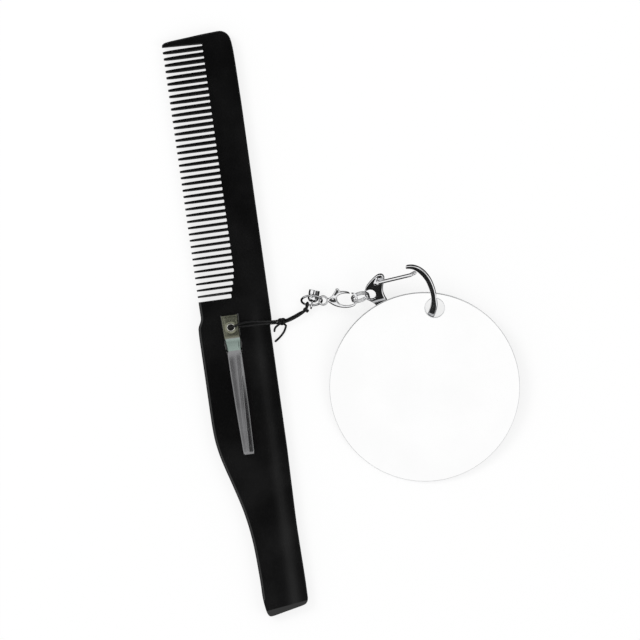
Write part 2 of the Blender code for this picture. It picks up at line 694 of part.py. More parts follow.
lower_stations = [
    lower_row(LOWER_END, TRAY_HALF, TRAY_FLANGE, END_FLANGE),
    lower_row(LOWER_TRAY, TRAY_HALF, TRAY_FLANGE),
    lower_row(LOWER_TRAY_END, EAR_HALF, TRAY_FLANGE),
    lower_row(LOWER_EAR_START, EAR_HALF, EAR_HEIGHT),
    lower_row(LOWER_EAR_END, EAR_HALF, EAR_HEIGHT),
    lower_row(RAMP_FOOT + CLEARANCE, EAR_HALF, TRAY_FLANGE),
    lower_row(LOWER_PRONG, PRONG_HALF, PRONG_FLANGE),
    lower_row(LOWER_MIDDLE, 0.5 * (PRONG_HALF + LOWER_TIP_HALF), PRONG_FLANGE),
    lower_row(LOWER_TIP, LOWER_TIP_HALF, PRONG_FLANGE),
]
lower_jaw = add_mesh("clip_lower_jaw", sheet_metal(lower_stations), STEEL, smooth=False)
thicken(lower_jaw, SHEET)
combine(lower_jaw, pin_bore("lower_pin_bore"), "DIFFERENCE")
for number, along in enumerate(RIVET_Y):
    bore = rod([(RIVET_BORE, -OVERRUN), (RIVET_BORE, OVERRUN)], 12)
    place = spot(-CLIP_X, along, CLIP_BASE)
    combine(lower_jaw, add_mesh(f"jaw_bore_{number}", bore, STEEL, Matrix.Translation(place)), "DIFFERENCE")
    top = CLIP_BASE + 0.5 * SHEET + CLEARANCE
    shank_end = COMB_THICKNESS - RIVET_DEPTH
    head = rod([
        (RIVET_RADIUS, shank_end), (RIVET_RADIUS, top), (RIVET_HEAD_RADIUS, top),
        (RIVET_HEAD_RADIUS, top + 0.4 * RIVET_HEAD), (0.6 * RIVET_HEAD_RADIUS, top + RIVET_HEAD),
    ], 16)
    side = "rear" if number else "front"
    add_mesh(f"clip_rivet_{side}", head, STEEL, Matrix.Translation(spot(-CLIP_X, along, 0.0)))

jaw_pivot = add_pivot("clip_hinge_axis", HINGE_PLACE)
upper_stations = [
    upper_row(TAB_END, TAB_HEIGHT, TAB_HALF, TAB_DEPTH, TAB_CROWN),
    upper_row(TAB_RAMP, TAB_HEIGHT, RAMP_HALF, TAB_DEPTH, TAB_CROWN),
    upper_row(TAB_RAMP + SHEET, RAMP_TOP_HEIGHT, RAMP_HALF, 2.0 * TAB_DEPTH, TAB_CROWN),
    upper_row(RAMP_EAR_START, EAR_TOP_HEIGHT, UPPER_EAR_HALF, UPPER_EAR_DEPTH + SHEET, TAB_CROWN),
    upper_row(RAMP_EAR_END, EAR_LOW_HEIGHT, UPPER_EAR_HALF, UPPER_EAR_DEPTH - SHEET, TAB_CROWN),
    upper_row(RAMP_FOOT, RAMP_FOOT_HEIGHT, UPPER_EAR_HALF, UPPER_PRONG_DEPTH, TAB_CROWN),
    upper_row(PRONG_START, PRONG_START_HEIGHT, UPPER_PRONG_HALF, UPPER_PRONG_DEPTH, PRONG_CROWN),
    upper_row(PRONG_QUARTER, PRONG_QUARTER_HEIGHT, UPPER_PRONG_HALF, UPPER_PRONG_DEPTH, PRONG_CROWN),
    upper_row(PRONG_HALFWAY, PRONG_HALFWAY_HEIGHT, UPPER_MIDDLE_HALF, UPPER_PRONG_DEPTH, PRONG_CROWN),
    upper_row(PRONG_END, PRONG_END_HEIGHT, UPPER_TIP_HALF, UPPER_TIP_DEPTH, 0.5 * UPPER_TIP_DEPTH),
    upper_row(PRONG_TIP, PRONG_TIP_HEIGHT, UPPER_TIP_HALF, UPPER_TIP_DEPTH, 0.5 * UPPER_TIP_DEPTH),
]
upper_local = [
    [tuple(Vector(place) - HINGE_PLACE) for place in row] for row in upper_stations
]
HINGE_FRAME = Matrix.Translation(HINGE_PLACE)
upper_jaw = add_mesh("clip_upper_jaw", sheet_metal(upper_local), STEEL, HINGE_FRAME, jaw_pivot, smooth=False)
thicken(upper_jaw, SHEET)
combine(upper_jaw, pin_bore("upper_pin_bore"), "DIFFERENCE")
tab_top = COMB_THICKNESS + TAB_HEIGHT
tab_hole_radius = EYELET_BORE + EYELET_WALL + CLEARANCE
tab_hole = rod([(tab_hole_radius, -OVERRUN), (tab_hole_radius, OVERRUN)], 20)
eyelet_place = spot(-CLIP_X, EYELET_Y, tab_top)
combine(upper_jaw, add_mesh("tab_hole", tab_hole, STEEL, Matrix.Translation(eyelet_place)), "DIFFERENCE")

eyelet_top = 0.5 * SHEET + CLEARANCE
eyelet = hollow_rod([
    (EYELET_BORE, -eyelet_top - EYELET_RIM_HEIGHT), (EYELET_FOOT, -eyelet_top - EYELET_RIM_HEIGHT),
    (EYELET_FOOT, -eyelet_top), (EYELET_BORE + EYELET_WALL, -eyelet_top),
    (EYELET_BORE + EYELET_WALL, eyelet_top), (EYELET_RIM, eyelet_top),
    (EYELET_RIM - EYELET_WALL, eyelet_top + 0.8 * EYELET_RIM_HEIGHT),
    (EYELET_BORE + EYELET_WALL, eyelet_top + EYELET_RIM_HEIGHT),
    (EYELET_BORE, eyelet_top + 0.6 * EYELET_RIM_HEIGHT),
])
add_mesh("tab_eyelet", eyelet, BRASS, Matrix.Translation(eyelet_place), jaw_pivot)

pin_half = EAR_HALF + 0.5 * SHEET + CLEARANCE
pin = rod([
    (0.7 * PIN_HEAD_RADIUS, -pin_half - PIN_HEAD), (PIN_HEAD_RADIUS, -pin_half - 0.4 * PIN_HEAD),
    (PIN_HEAD_RADIUS, -pin_half), (PIN_RADIUS, -pin_half), (PIN_RADIUS, pin_half),
    (PIN_HEAD_RADIUS, pin_half), (PIN_HEAD_RADIUS, pin_half + 0.4 * PIN_HEAD),
    (0.7 * PIN_HEAD_RADIUS, pin_half + PIN_HEAD),
], 14)
add_mesh("clip_hinge_pin", pin, STEEL, rod_frame(HINGE_PLACE, Vector((1.0, 0.0, 0.0))))


def clip_spring_line():
    """Return the torsion spring's wire: a leg on the lower jaw, the coil, a short hook."""
    line = []
    per_turn = 12
    width = CLIP_SPRING_TURNS * CLIP_SPRING_PITCH
    foot = -CLIP_SPRING_RADIUS
    for share in (1.0, 0.66, 0.33):
        line.append(Vector((-0.5 * width, share * CLIP_SPRING_LEG, foot)))
    total = CLIP_SPRING_TURNS * per_turn + per_turn // 2
    for step in range(total + 1):
        turn = -0.5 * math.pi - 2.0 * math.pi * step / per_turn
        x = -0.5 * width + width * step / total
        line.append(Vector((x, CLIP_SPRING_RADIUS * math.cos(turn), CLIP_SPRING_RADIUS * math.sin(turn))))
    line.append(line[-1] + Vector((0.0, CLIP_SPRING_HOOK, 0.0)))
    return line


add_tube("clip_spring", clip_spring_line(), 0.5 * CLIP_SPRING_WIRE, SPRING_STEEL, HINGE_FRAME, sides=1)


# Cord

cord_step = 2.0 * CORD
add_tube("cord_clip_loop", smooth_line(route_points(RUN_OVER), cord_step), 0.5 * CORD, FABRIC)
add_tube("cord_ring_loop", smooth_line(route_points(RUN_RING), cord_step), 0.5 * CORD, FABRIC)
add_tube("cord_long_tail", smooth_line(route_points(TAIL_LONG), cord_step), 0.5 * CORD, FABRIC)
add_tube("cord_short_tail", smooth_line(route_points(TAIL_SHORT), cord_step), 0.5 * CORD, FABRIC)

knot_bm = bmesh.new()
bmesh.ops.create_icosphere(knot_bm, subdivisions=2, radius=0.5)
for knot_vert in knot_bm.verts:
    waist = 1.0 - 0.12 * math.cos(4.0 * math.pi * knot_vert.co.x) * (0.5 - abs(knot_vert.co.x))
    knot_vert.co.x *= KNOT_LENGTH
    knot_vert.co.y *= KNOT_WIDTH * waist
    knot_vert.co.z *= KNOT_HEIGHT * waist
add_mesh("cord_knot", knot_bm, FABRIC, Matrix.Translation(route_points([KNOT_CENTRE])[0]))


# Link ring and crimp barrel

def ring_line(radius, wire_gap, steps=28):
    """Return the line of an open jump ring in its own plane, its gap at the top."""
    line = []
    for step in range(steps + 1):
        turn = 0.5 * math.pi + wire_gap + (2.0 * math.pi - 2.0 * wire_gap) * step / steps
        line.append(Vector((radius * math.cos(turn), radius * math.sin(turn), 0.0)))
    return line


ring_frame = plane_frame(spot(RING_X, RING_Y, RING_Z), IMAGE_TILT, RING_LEAN)
bight_place = Vector((RING_RADIUS * math.cos(RING_BIGHT), RING_RADIUS * math.sin(RING_BIGHT), 0.0))
ring_pivot = add_pivot("link_ring_axis", ring_frame @ bight_place)
add_tube("link_ring", ring_line(RING_RADIUS, RING_GAP), 0.5 * RING_WIRE, CHROME, ring_frame, ring_pivot)

lug_place = ring_frame @ Vector((0.0, -RING_RADIUS, 0.0))
lug_place.z = ring_frame.translation.z - RING_RADIUS * math.sin(RING_LEAN)
barrel_pivot = add_pivot("barrel_axis", lug_place)
barrel_axis = Vector((math.cos(BARREL_TURN), math.sin(BARREL_TURN), 0.0))
barrel_place = lug_place.copy()
barrel_place.z = BARREL_Z
barrel_frame = rod_frame(barrel_place, barrel_axis)
floor = BARREL_START + 1.8 * BARREL_WALL
barrel = rod([
    (0.4 * BARREL_RADIUS, BARREL_START), (0.72 * BARREL_RADIUS, BARREL_START + 0.9 * BARREL_WALL),
    (0.92 * BARREL_RADIUS, BARREL_START + 1.8 * BARREL_WALL), (BARREL_RADIUS, floor + BARREL_WALL),
    (BARREL_RADIUS, BARREL_START + BARREL_LENGTH),
    (BARREL_RADIUS - BARREL_WALL, BARREL_START + BARREL_LENGTH),
    (BARREL_RADIUS - BARREL_WALL, floor + BARREL_WALL),
], 20)
crimp = add_mesh("crimp_barrel", barrel, CHROME, barrel_frame, barrel_pivot)

lug_bm = hollow_rod([
    (LUG_BORE, -0.5 * LUG_THICKNESS), (LUG_RADIUS, -0.5 * LUG_THICKNESS),
    (LUG_RADIUS, 0.5 * LUG_THICKNESS), (LUG_BORE, 0.5 * LUG_THICKNESS),
])
lug_axis = Vector((math.sin(BARREL_TURN), -math.cos(BARREL_TURN), 0.0))
combine(crimp, add_mesh("barrel_lug", lug_bm, CHROME, rod_frame(lug_place, lug_axis)), "UNION")
seam = outline_solid([
    (-0.5 * BARREL_SEAM, 0.0), (0.5 * BARREL_SEAM, 0.0),
    (0.5 * BARREL_SEAM, BARREL_RADIUS + OVERRUN), (-0.5 * BARREL_SEAM, BARREL_RADIUS + OVERRUN),
], BARREL_LENGTH)
seam_frame = Matrix.Translation(barrel_place + barrel_axis * (floor + 0.5 * BARREL_LENGTH + CLEARANCE))
seam_turn = Matrix((lug_axis, Vector((0.0, 0.0, 1.0)), -barrel_axis)).transposed().to_4x4()
seam_tilt = Matrix.Rotation(math.radians(-28.0), 4, "Z")
combine(crimp, add_mesh("barrel_seam", seam, CHROME, seam_frame @ seam_turn @ seam_tilt), "DIFFERENCE")


# Lobster claw

claw_place = spot(CLAW_X, CLAW_Y, CLAW_Z)
claw_frame = plane_frame(claw_place, CLAW_TURN, 0.0)
claw_pivot = add_pivot("claw_axis", ring_frame @ Vector((RING_RADIUS, 0.0, 0.0)))
claw_outline = [(x * CLAW_LENGTH, y * CLAW_WIDTH) for x, y in CLAW_SHARES]
claw = add_mesh("claw_body", outline_solid(claw_outline, CLAW_THICKNESS), CHROME, claw_frame, claw_pivot)
round_edges(claw, CLAW_EDGE)
claw_eye = hollow_rod([
    (CLAW_EYE_BORE, -0.5 * CLAW_EYE_THICKNESS), (CLAW_EYE_RADIUS, -0.5 * CLAW_EYE_THICKNESS),
    (CLAW_EYE_RADIUS, 0.5 * CLAW_EYE_THICKNESS), (CLAW_EYE_BORE, 0.5 * CLAW_EYE_THICKNESS),
], 24)
combine(claw, add_mesh("claw_eye", claw_eye, CHROME, claw_frame), "UNION")
lever_frame = claw_frame @ Matrix.Translation((LEVER_PIVOT_X, LEVER_PIVOT_Y, 0.0))
slot_length = 0.11 * CLAW_LENGTH
slot_floor = -0.19 * CLAW_WIDTH
slot = outline_solid([
    (-slot_length, slot_floor), (OVERRUN, slot_floor), (OVERRUN, OVERRUN), (-slot_length, OVERRUN),
], LEVER_SLOT)
combine(claw, add_mesh("lever_slot", slot, CHROME, lever_frame), "DIFFERENCE")
lever_bore_radius = LEVER_PIN_RADIUS + 0.5 * CLEARANCE
lever_bore = rod([(lever_bore_radius, -OVERRUN), (lever_bore_radius, OVERRUN)], 12)
combine(claw, add_mesh("claw_pin_bore", lever_bore, CHROME, lever_frame), "DIFFERENCE")

lever_pivot = add_pivot("lever_axis", lever_frame.translation)
lever_outline = [(x * CLAW_LENGTH, y * CLAW_WIDTH) for x, y in LEVER_SHARES]
lever_blank = outline_solid(lever_outline, LEVER_THICKNESS)
lever = add_mesh("claw_lever", lever_blank, CHROME, lever_frame, lever_pivot)
lever_hole = rod([(lever_bore_radius, -OVERRUN), (lever_bore_radius, OVERRUN)], 12)
combine(lever, add_mesh("lever_pin_bore", lever_hole, CHROME, lever_frame), "DIFFERENCE")
lever_pin = rod([
    (0.8 * LEVER_PIN_RADIUS, -0.5 * CLAW_THICKNESS - 0.2 * LEVER_PIN_RADIUS),
    (LEVER_PIN_RADIUS, -0.5 * CLAW_THICKNESS), (LEVER_PIN_RADIUS, 0.5 * CLAW_THICKNESS),
    (0.8 * LEVER_PIN_RADIUS, 0.5 * CLAW_THICKNESS + 0.2 * LEVER_PIN_RADIUS),
], 12)
add_mesh("claw_lever_pin", lever_pin, CHROME, lever_frame, claw_pivot)


# Split ring

split_frame = plane_frame(spot(SPLIT_X, SPLIT_Y, SPLIT_Z), SPLIT_TURN, math.pi - SPLIT_LEAN)
split_line = []
split_steps = 24 * SPLIT_TURNS
for split_step in range(split_steps + 1):
    split_turn = 0.35 * math.pi + 2.0 * math.pi * SPLIT_TURNS * split_step / split_steps * 0.97
    rise = SPLIT_PITCH * (SPLIT_TURNS * split_step / split_steps - 0.5 * SPLIT_TURNS)
    across = SPLIT_RADIUS * math.cos(split_turn)
    along = SPLIT_RADIUS * math.sin(split_turn)
    split_line.append(Vector((across, along, rise)))
split_pivot = add_pivot("split_ring_axis", split_frame @ Vector((-SPLIT_RADIUS, 0.0, 0.0)))
add_tube("split_ring", split_line, 0.5 * SPLIT_WIRE, CHROME, split_frame, split_pivot, sides=1)


# Mirror

tilt_side = Vector((math.sin(CROSSING_TURN), -math.cos(CROSSING_TURN), 0.0))
hole_place = spot(HOLE_X, HOLE_Y, 0.0)
mirror_centre = spot(MIRROR_X, MIRROR_Y, 0.0)
hole_rise = MIRROR_RADIUS + (hole_place - mirror_centre).dot(tilt_side)
mirror_tilt = math.asin((HOLE_HEIGHT - 0.5 * MIRROR_THICKNESS) / hole_rise)
hole_place.z = HOLE_HEIGHT
mirror_frame = plane_frame(hole_place, CROSSING_TURN - math.pi, mirror_tilt)
mirror_pivot = add_pivot("mirror_axis", hole_place)
level = Matrix.Rotation(CROSSING_TURN - math.pi, 4, "Z")
centre_offset = level.inverted() @ (mirror_centre - spot(HOLE_X, HOLE_Y, 0.0))
half_plate = 0.5 * MIRROR_THICKNESS
mirror_bm = rod([
    (MIRROR_RADIUS - MIRROR_EDGE, -half_plate), (MIRROR_RADIUS, -half_plate + MIRROR_EDGE),
    (MIRROR_RADIUS, half_plate - MIRROR_EDGE), (MIRROR_RADIUS - MIRROR_EDGE, half_plate),
], 96)
bmesh.ops.translate(mirror_bm, verts=mirror_bm.verts, vec=centre_offset)
mirror = add_mesh("mirror_disc", mirror_bm, MIRROR, mirror_frame, mirror_pivot)
hole_bm = rod([(HOLE_RADIUS, -OVERRUN), (HOLE_RADIUS, OVERRUN)], 32)
combine(mirror, add_mesh("mirror_hole", hole_bm, MIRROR, mirror_frame), "DIFFERENCE")


# Ring clasp

clasp_place = spot(CLASP_X, CLASP_Y, hole_place.z)
clasp_frame = plane_frame(clasp_place, CROSSING_TURN, -CLASP_TILT)
clasp_pivot = add_pivot("clasp_axis", split_frame @ Vector((SPLIT_RADIUS, 0.0, 0.0)))


def on_clasp(share):
    """Return a point of the clasp's plane: x away from the hole, y uphill."""
    return (share[0] * CLASP_REACH, -share[1] * CLASP_REACH)


clasp_outline = [on_clasp(share) for share in CLASP_OUTER_SHARES + CLASP_INNER_SHARES]
clasp_blank = outline_solid(clasp_outline, CLASP_THICKNESS)
clasp = add_mesh("clasp_frame", clasp_blank, CHROME, clasp_frame, clasp_pivot)
round_edges(clasp, CLASP_EDGE, 2, 50.0)
clasp_eye = rod([(CLASP_EYE_BORE, -OVERRUN), (CLASP_EYE_BORE, OVERRUN)], 24)
eye_frame = clasp_frame @ Matrix.Translation((CLASP_EYE_X, -CLASP_EYE_Y, 0.0))
combine(clasp, add_mesh("clasp_eye_bore", clasp_eye, CHROME, eye_frame), "DIFFERENCE")
gate_frame = clasp_frame @ Matrix.Translation((GATE_X, -GATE_Y, 0.0)) @ Matrix.Rotation(-GATE_TURN, 4, "Z")
gate_pin_bore_radius = GATE_PIN_RADIUS + CLEARANCE
gate_bore = rod([(gate_pin_bore_radius, -OVERRUN), (gate_pin_bore_radius, OVERRUN)], 12)
combine(clasp, add_mesh("gate_pin_bore", gate_bore, CHROME, gate_frame), "DIFFERENCE")

gate_pivot = add_pivot("gate_axis", gate_frame.translation)
gate_height = 0.5 * CLASP_THICKNESS + CLEARANCE + GATE_RADIUS
bar_start = GATE_BORE_RADIUS + 0.5 * (GATE_EYE_RADIUS - GATE_BORE_RADIUS)
gate_line = smooth_line([
    Vector((bar_start, 0.0, gate_height)), Vector((0.3 * GATE_LENGTH, 0.0, gate_height)),
    Vector((0.6 * GATE_LENGTH, 0.0, gate_height)), Vector((GATE_LENGTH - GATE_STEP, 0.0, 0.96 * gate_height)),
    Vector((GATE_LENGTH - 0.5 * GATE_STEP, 0.0, 0.62 * gate_height)),
    Vector((GATE_LENGTH, 0.0, 0.28 * gate_height)),
], 2.0 * GATE_RADIUS)
gate_eye = hollow_rod([
    (GATE_BORE_RADIUS, -GATE_RADIUS), (GATE_EYE_RADIUS, -GATE_RADIUS),
    (GATE_EYE_RADIUS, GATE_RADIUS), (GATE_BORE_RADIUS, GATE_RADIUS),
], 20)
bmesh.ops.translate(gate_eye, verts=gate_eye.verts, vec=(0.0, 0.0, gate_height))
gate = add_mesh("clasp_gate", gate_eye, CHROME, gate_frame, gate_pivot)
combine(gate, add_mesh("gate_bar", wire_solid(gate_line, 0.96 * GATE_RADIUS), CHROME, gate_frame), "UNION")
pin_low = -0.5 * CLASP_THICKNESS - CLEARANCE
pin_high = gate_height + GATE_RADIUS + CLEARANCE
gate_pin = rod([
    (0.8 * GATE_PIN_HEAD_RADIUS, pin_low - GATE_PIN_HEAD), (GATE_PIN_HEAD_RADIUS, pin_low),
    (GATE_PIN_RADIUS, pin_low), (GATE_PIN_RADIUS, pin_high), (GATE_PIN_HEAD_RADIUS, pin_high),
    (0.8 * GATE_PIN_HEAD_RADIUS, pin_high + 0.6 * GATE_PIN_HEAD),
    (0.3 * GATE_PIN_HEAD_RADIUS, pin_high + GATE_PIN_HEAD),
], 16)
add_mesh("clasp_gate_pin", gate_pin, CHROME, gate_frame, clasp_pivot)
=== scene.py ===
"""Looks of the pocket comb with its spring clip, cord, chain links, ring clasp and mirror.

Sizes are in millimetres. Places are worked out in the comb's own frame, X across from the
spine and Y along from the top of the head, and Bench.settle brings each finished piece to
metres in the part's frame, dresses it and ties it to the body that carries it.
"""
from __future__ import annotations

import json
import logging
import math
from contextlib import contextmanager
from dataclasses import dataclass, replace
from enum import Enum
from functools import cache
from typing import Iterator, Sequence

import bmesh
import bpy
from mathutils import Matrix, Vector

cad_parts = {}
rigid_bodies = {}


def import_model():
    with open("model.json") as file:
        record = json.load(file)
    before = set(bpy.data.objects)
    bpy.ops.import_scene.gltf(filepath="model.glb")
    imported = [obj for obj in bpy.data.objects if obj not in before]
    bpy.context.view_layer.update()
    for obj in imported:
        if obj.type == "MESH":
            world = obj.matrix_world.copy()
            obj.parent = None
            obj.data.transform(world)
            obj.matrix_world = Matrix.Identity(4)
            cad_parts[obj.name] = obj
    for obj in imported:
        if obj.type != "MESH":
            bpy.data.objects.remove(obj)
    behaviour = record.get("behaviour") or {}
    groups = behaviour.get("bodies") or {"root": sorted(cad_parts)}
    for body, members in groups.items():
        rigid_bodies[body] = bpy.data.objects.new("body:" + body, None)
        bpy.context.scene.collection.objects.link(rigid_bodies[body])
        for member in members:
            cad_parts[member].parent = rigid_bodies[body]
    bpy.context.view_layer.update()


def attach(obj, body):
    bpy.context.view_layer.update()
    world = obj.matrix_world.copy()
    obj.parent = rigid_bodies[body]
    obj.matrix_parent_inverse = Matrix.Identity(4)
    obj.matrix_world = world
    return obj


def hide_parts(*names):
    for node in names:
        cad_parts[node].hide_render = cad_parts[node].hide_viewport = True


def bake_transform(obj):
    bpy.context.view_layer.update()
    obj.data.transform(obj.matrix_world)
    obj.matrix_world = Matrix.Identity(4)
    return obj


LOG = logging.getLogger("pocket_comb")
MM = 0.001
Point = tuple[float, float]
Place = tuple[float, float, float]
Colour = tuple[float, float, float]

# the part's origin in the comb's frame: across from the spine, along from the head
FRAME_X = 26.825
FRAME_Y = 95.0
# how finely a smooth line is worked out, and how close two corners count as one
CURVE_STEPS = 16
SAME_CORNER = 0.01
# how far a quarter round of radius 1 stands in from its corner at its middle, along each side
ROUND_MIDDLE = 0.293
UP = Vector((0.0, 0.0, 1.0))


def spot(x: float, along: float, z: float) -> Vector:
    """Turn a place in the comb's frame, measured from spine and head, to the part's."""
    return Vector((x - FRAME_X, FRAME_Y - along, z))


def heading(degrees: float) -> Vector:
    """Return the level direction at an angle from the part's X."""
    return Vector((math.cos(math.radians(degrees)), math.sin(math.radians(degrees)), 0.0))


def plane_frame(place: Vector, along: float, lean: float) -> Matrix:
    """Return a frame whose X runs level and whose Y rises.

    Args:
        place: where the frame stands.
        along: direction of its X, in degrees from the part's X.
        lean: how steeply its Y rises, in degrees.

    Returns:
        The frame as a matrix.
    """
    x, rise = heading(along), math.radians(lean)
    y = UP.cross(x) * math.cos(rise) + UP * math.sin(rise)
    return Matrix.Translation(place) @ Matrix((x, y, x.cross(y))).transposed().to_4x4()


def ring_points(middle: float, half_width: float, half_height: float, count: int) -> list[Point]:
    """Return the profile of an oval wire, at a radius from the axis that it is turned about."""
    turns = [math.tau * step / count for step in range(count)]
    return [(middle + half_width * math.cos(turn), half_height * math.sin(turn)) for turn in turns]


def mirrored(upper: Sequence[Point]) -> list[Point]:
    """Return a whole profile from its upper half, which starts at its middle."""
    return [*((radius, -height) for radius, height in reversed(upper)), *upper]


def rod_frame(place: Vector, axis: Vector) -> Matrix:
    """Return the frame that stands a turned piece at a place, its height along an axis."""
    return Matrix.Translation(place) @ axis.to_track_quat("Z", "X").to_matrix().to_4x4()


def ease(value: float) -> float:
    """Return a soft step from 0 to 1."""
    t = min(max(value, 0.0), 1.0)
    return t * t * (3.0 - 2.0 * t)


def smooth_line(places: Sequence[Vector], spacing: float) -> list[Vector]:
    """Read places at an even spacing from one smooth curve through the given ones.

    Args:
        places: the points that the curve passes.
        spacing: the wanted distance between two read points.

    Returns:
        The read points, both ends among them.
    """
    ends = [places[0] * 2 - places[1], *places, places[-1] * 2 - places[-2]]
    fine: list[Vector] = []
    for before, start, end, after in zip(ends, ends[1:], ends[2:], ends[3:]):
        for step in range(CURVE_STEPS):
            t = step / CURVE_STEPS
            fine.append(0.5 * (2 * start + (end - before) * t
                               + (2 * before - 5 * start + 4 * end - after) * t * t
                               + (3 * start - before - 3 * end + after) * t * t * t))
    fine.append(places[-1])
    total = sum((b - a).length for a, b in zip(fine, fine[1:]))
    count = max(3, round(total / spacing))
    line, walked, goal = [fine[0]], 0.0, total / count
    for a, b in zip(fine, fine[1:]):
        stretch = (b - a).length
        while walked + stretch >= goal and len(line) < count:
            line.append(a.lerp(b, (goal - walked) / stretch))
            goal += total / count
        walked += stretch
    line.append(fine[-1])
    return line


def soften(outline: Sequence[Point], steps: int, reach: float = 0.5, most: float = math.inf) -> list[Point]:
    """Round the corners of a closed outline with short curves.

    Args:
        outline: the corners.
        steps: how many pieces each corner's curve has.
        reach: the share of the shorter neighbouring side that a curve takes.
        most: the longest stretch of a side that a curve takes.

    Returns:
        The rounded outline.
    """
    made: list[Point] = []
    count = len(outline)
    for index, corner in enumerate(outline):
        here = Vector(corner)
        back = Vector(outline[index - 1]) - here
        ahead = Vector(outline[(index + 1) % count]) - here
        cut = min(reach * back.length, reach * ahead.length, most)
        start, end = here + back.normalized() * cut, here + ahead.normalized() * cut
        for step in range(steps + 1):
            t = step / steps
            place = start * (1 - t) ** 2 + here * 2 * t * (1 - t) + end * t * t
            if not made or (Vector(made[-1]) - place).length > SAME_CORNER:
                made.append((place.x, place.y))
    if (Vector(made[0]) - Vector(made[-1])).length < SAME_CORNER:
        made.pop()
    return made


class Body(Enum):
    """The bodies of the part's own model that pieces ride on."""

    COMB = "comb_body"
    JAW = "clip_jaw"
    LINK = "link"
    BARREL = "barrel"
    CLAW = "claw"
    LEVER = "lever"
    SPLIT = "split"
    CLASP = "clasp"
    GATE = "gate"
    MIRROR = "mirror"


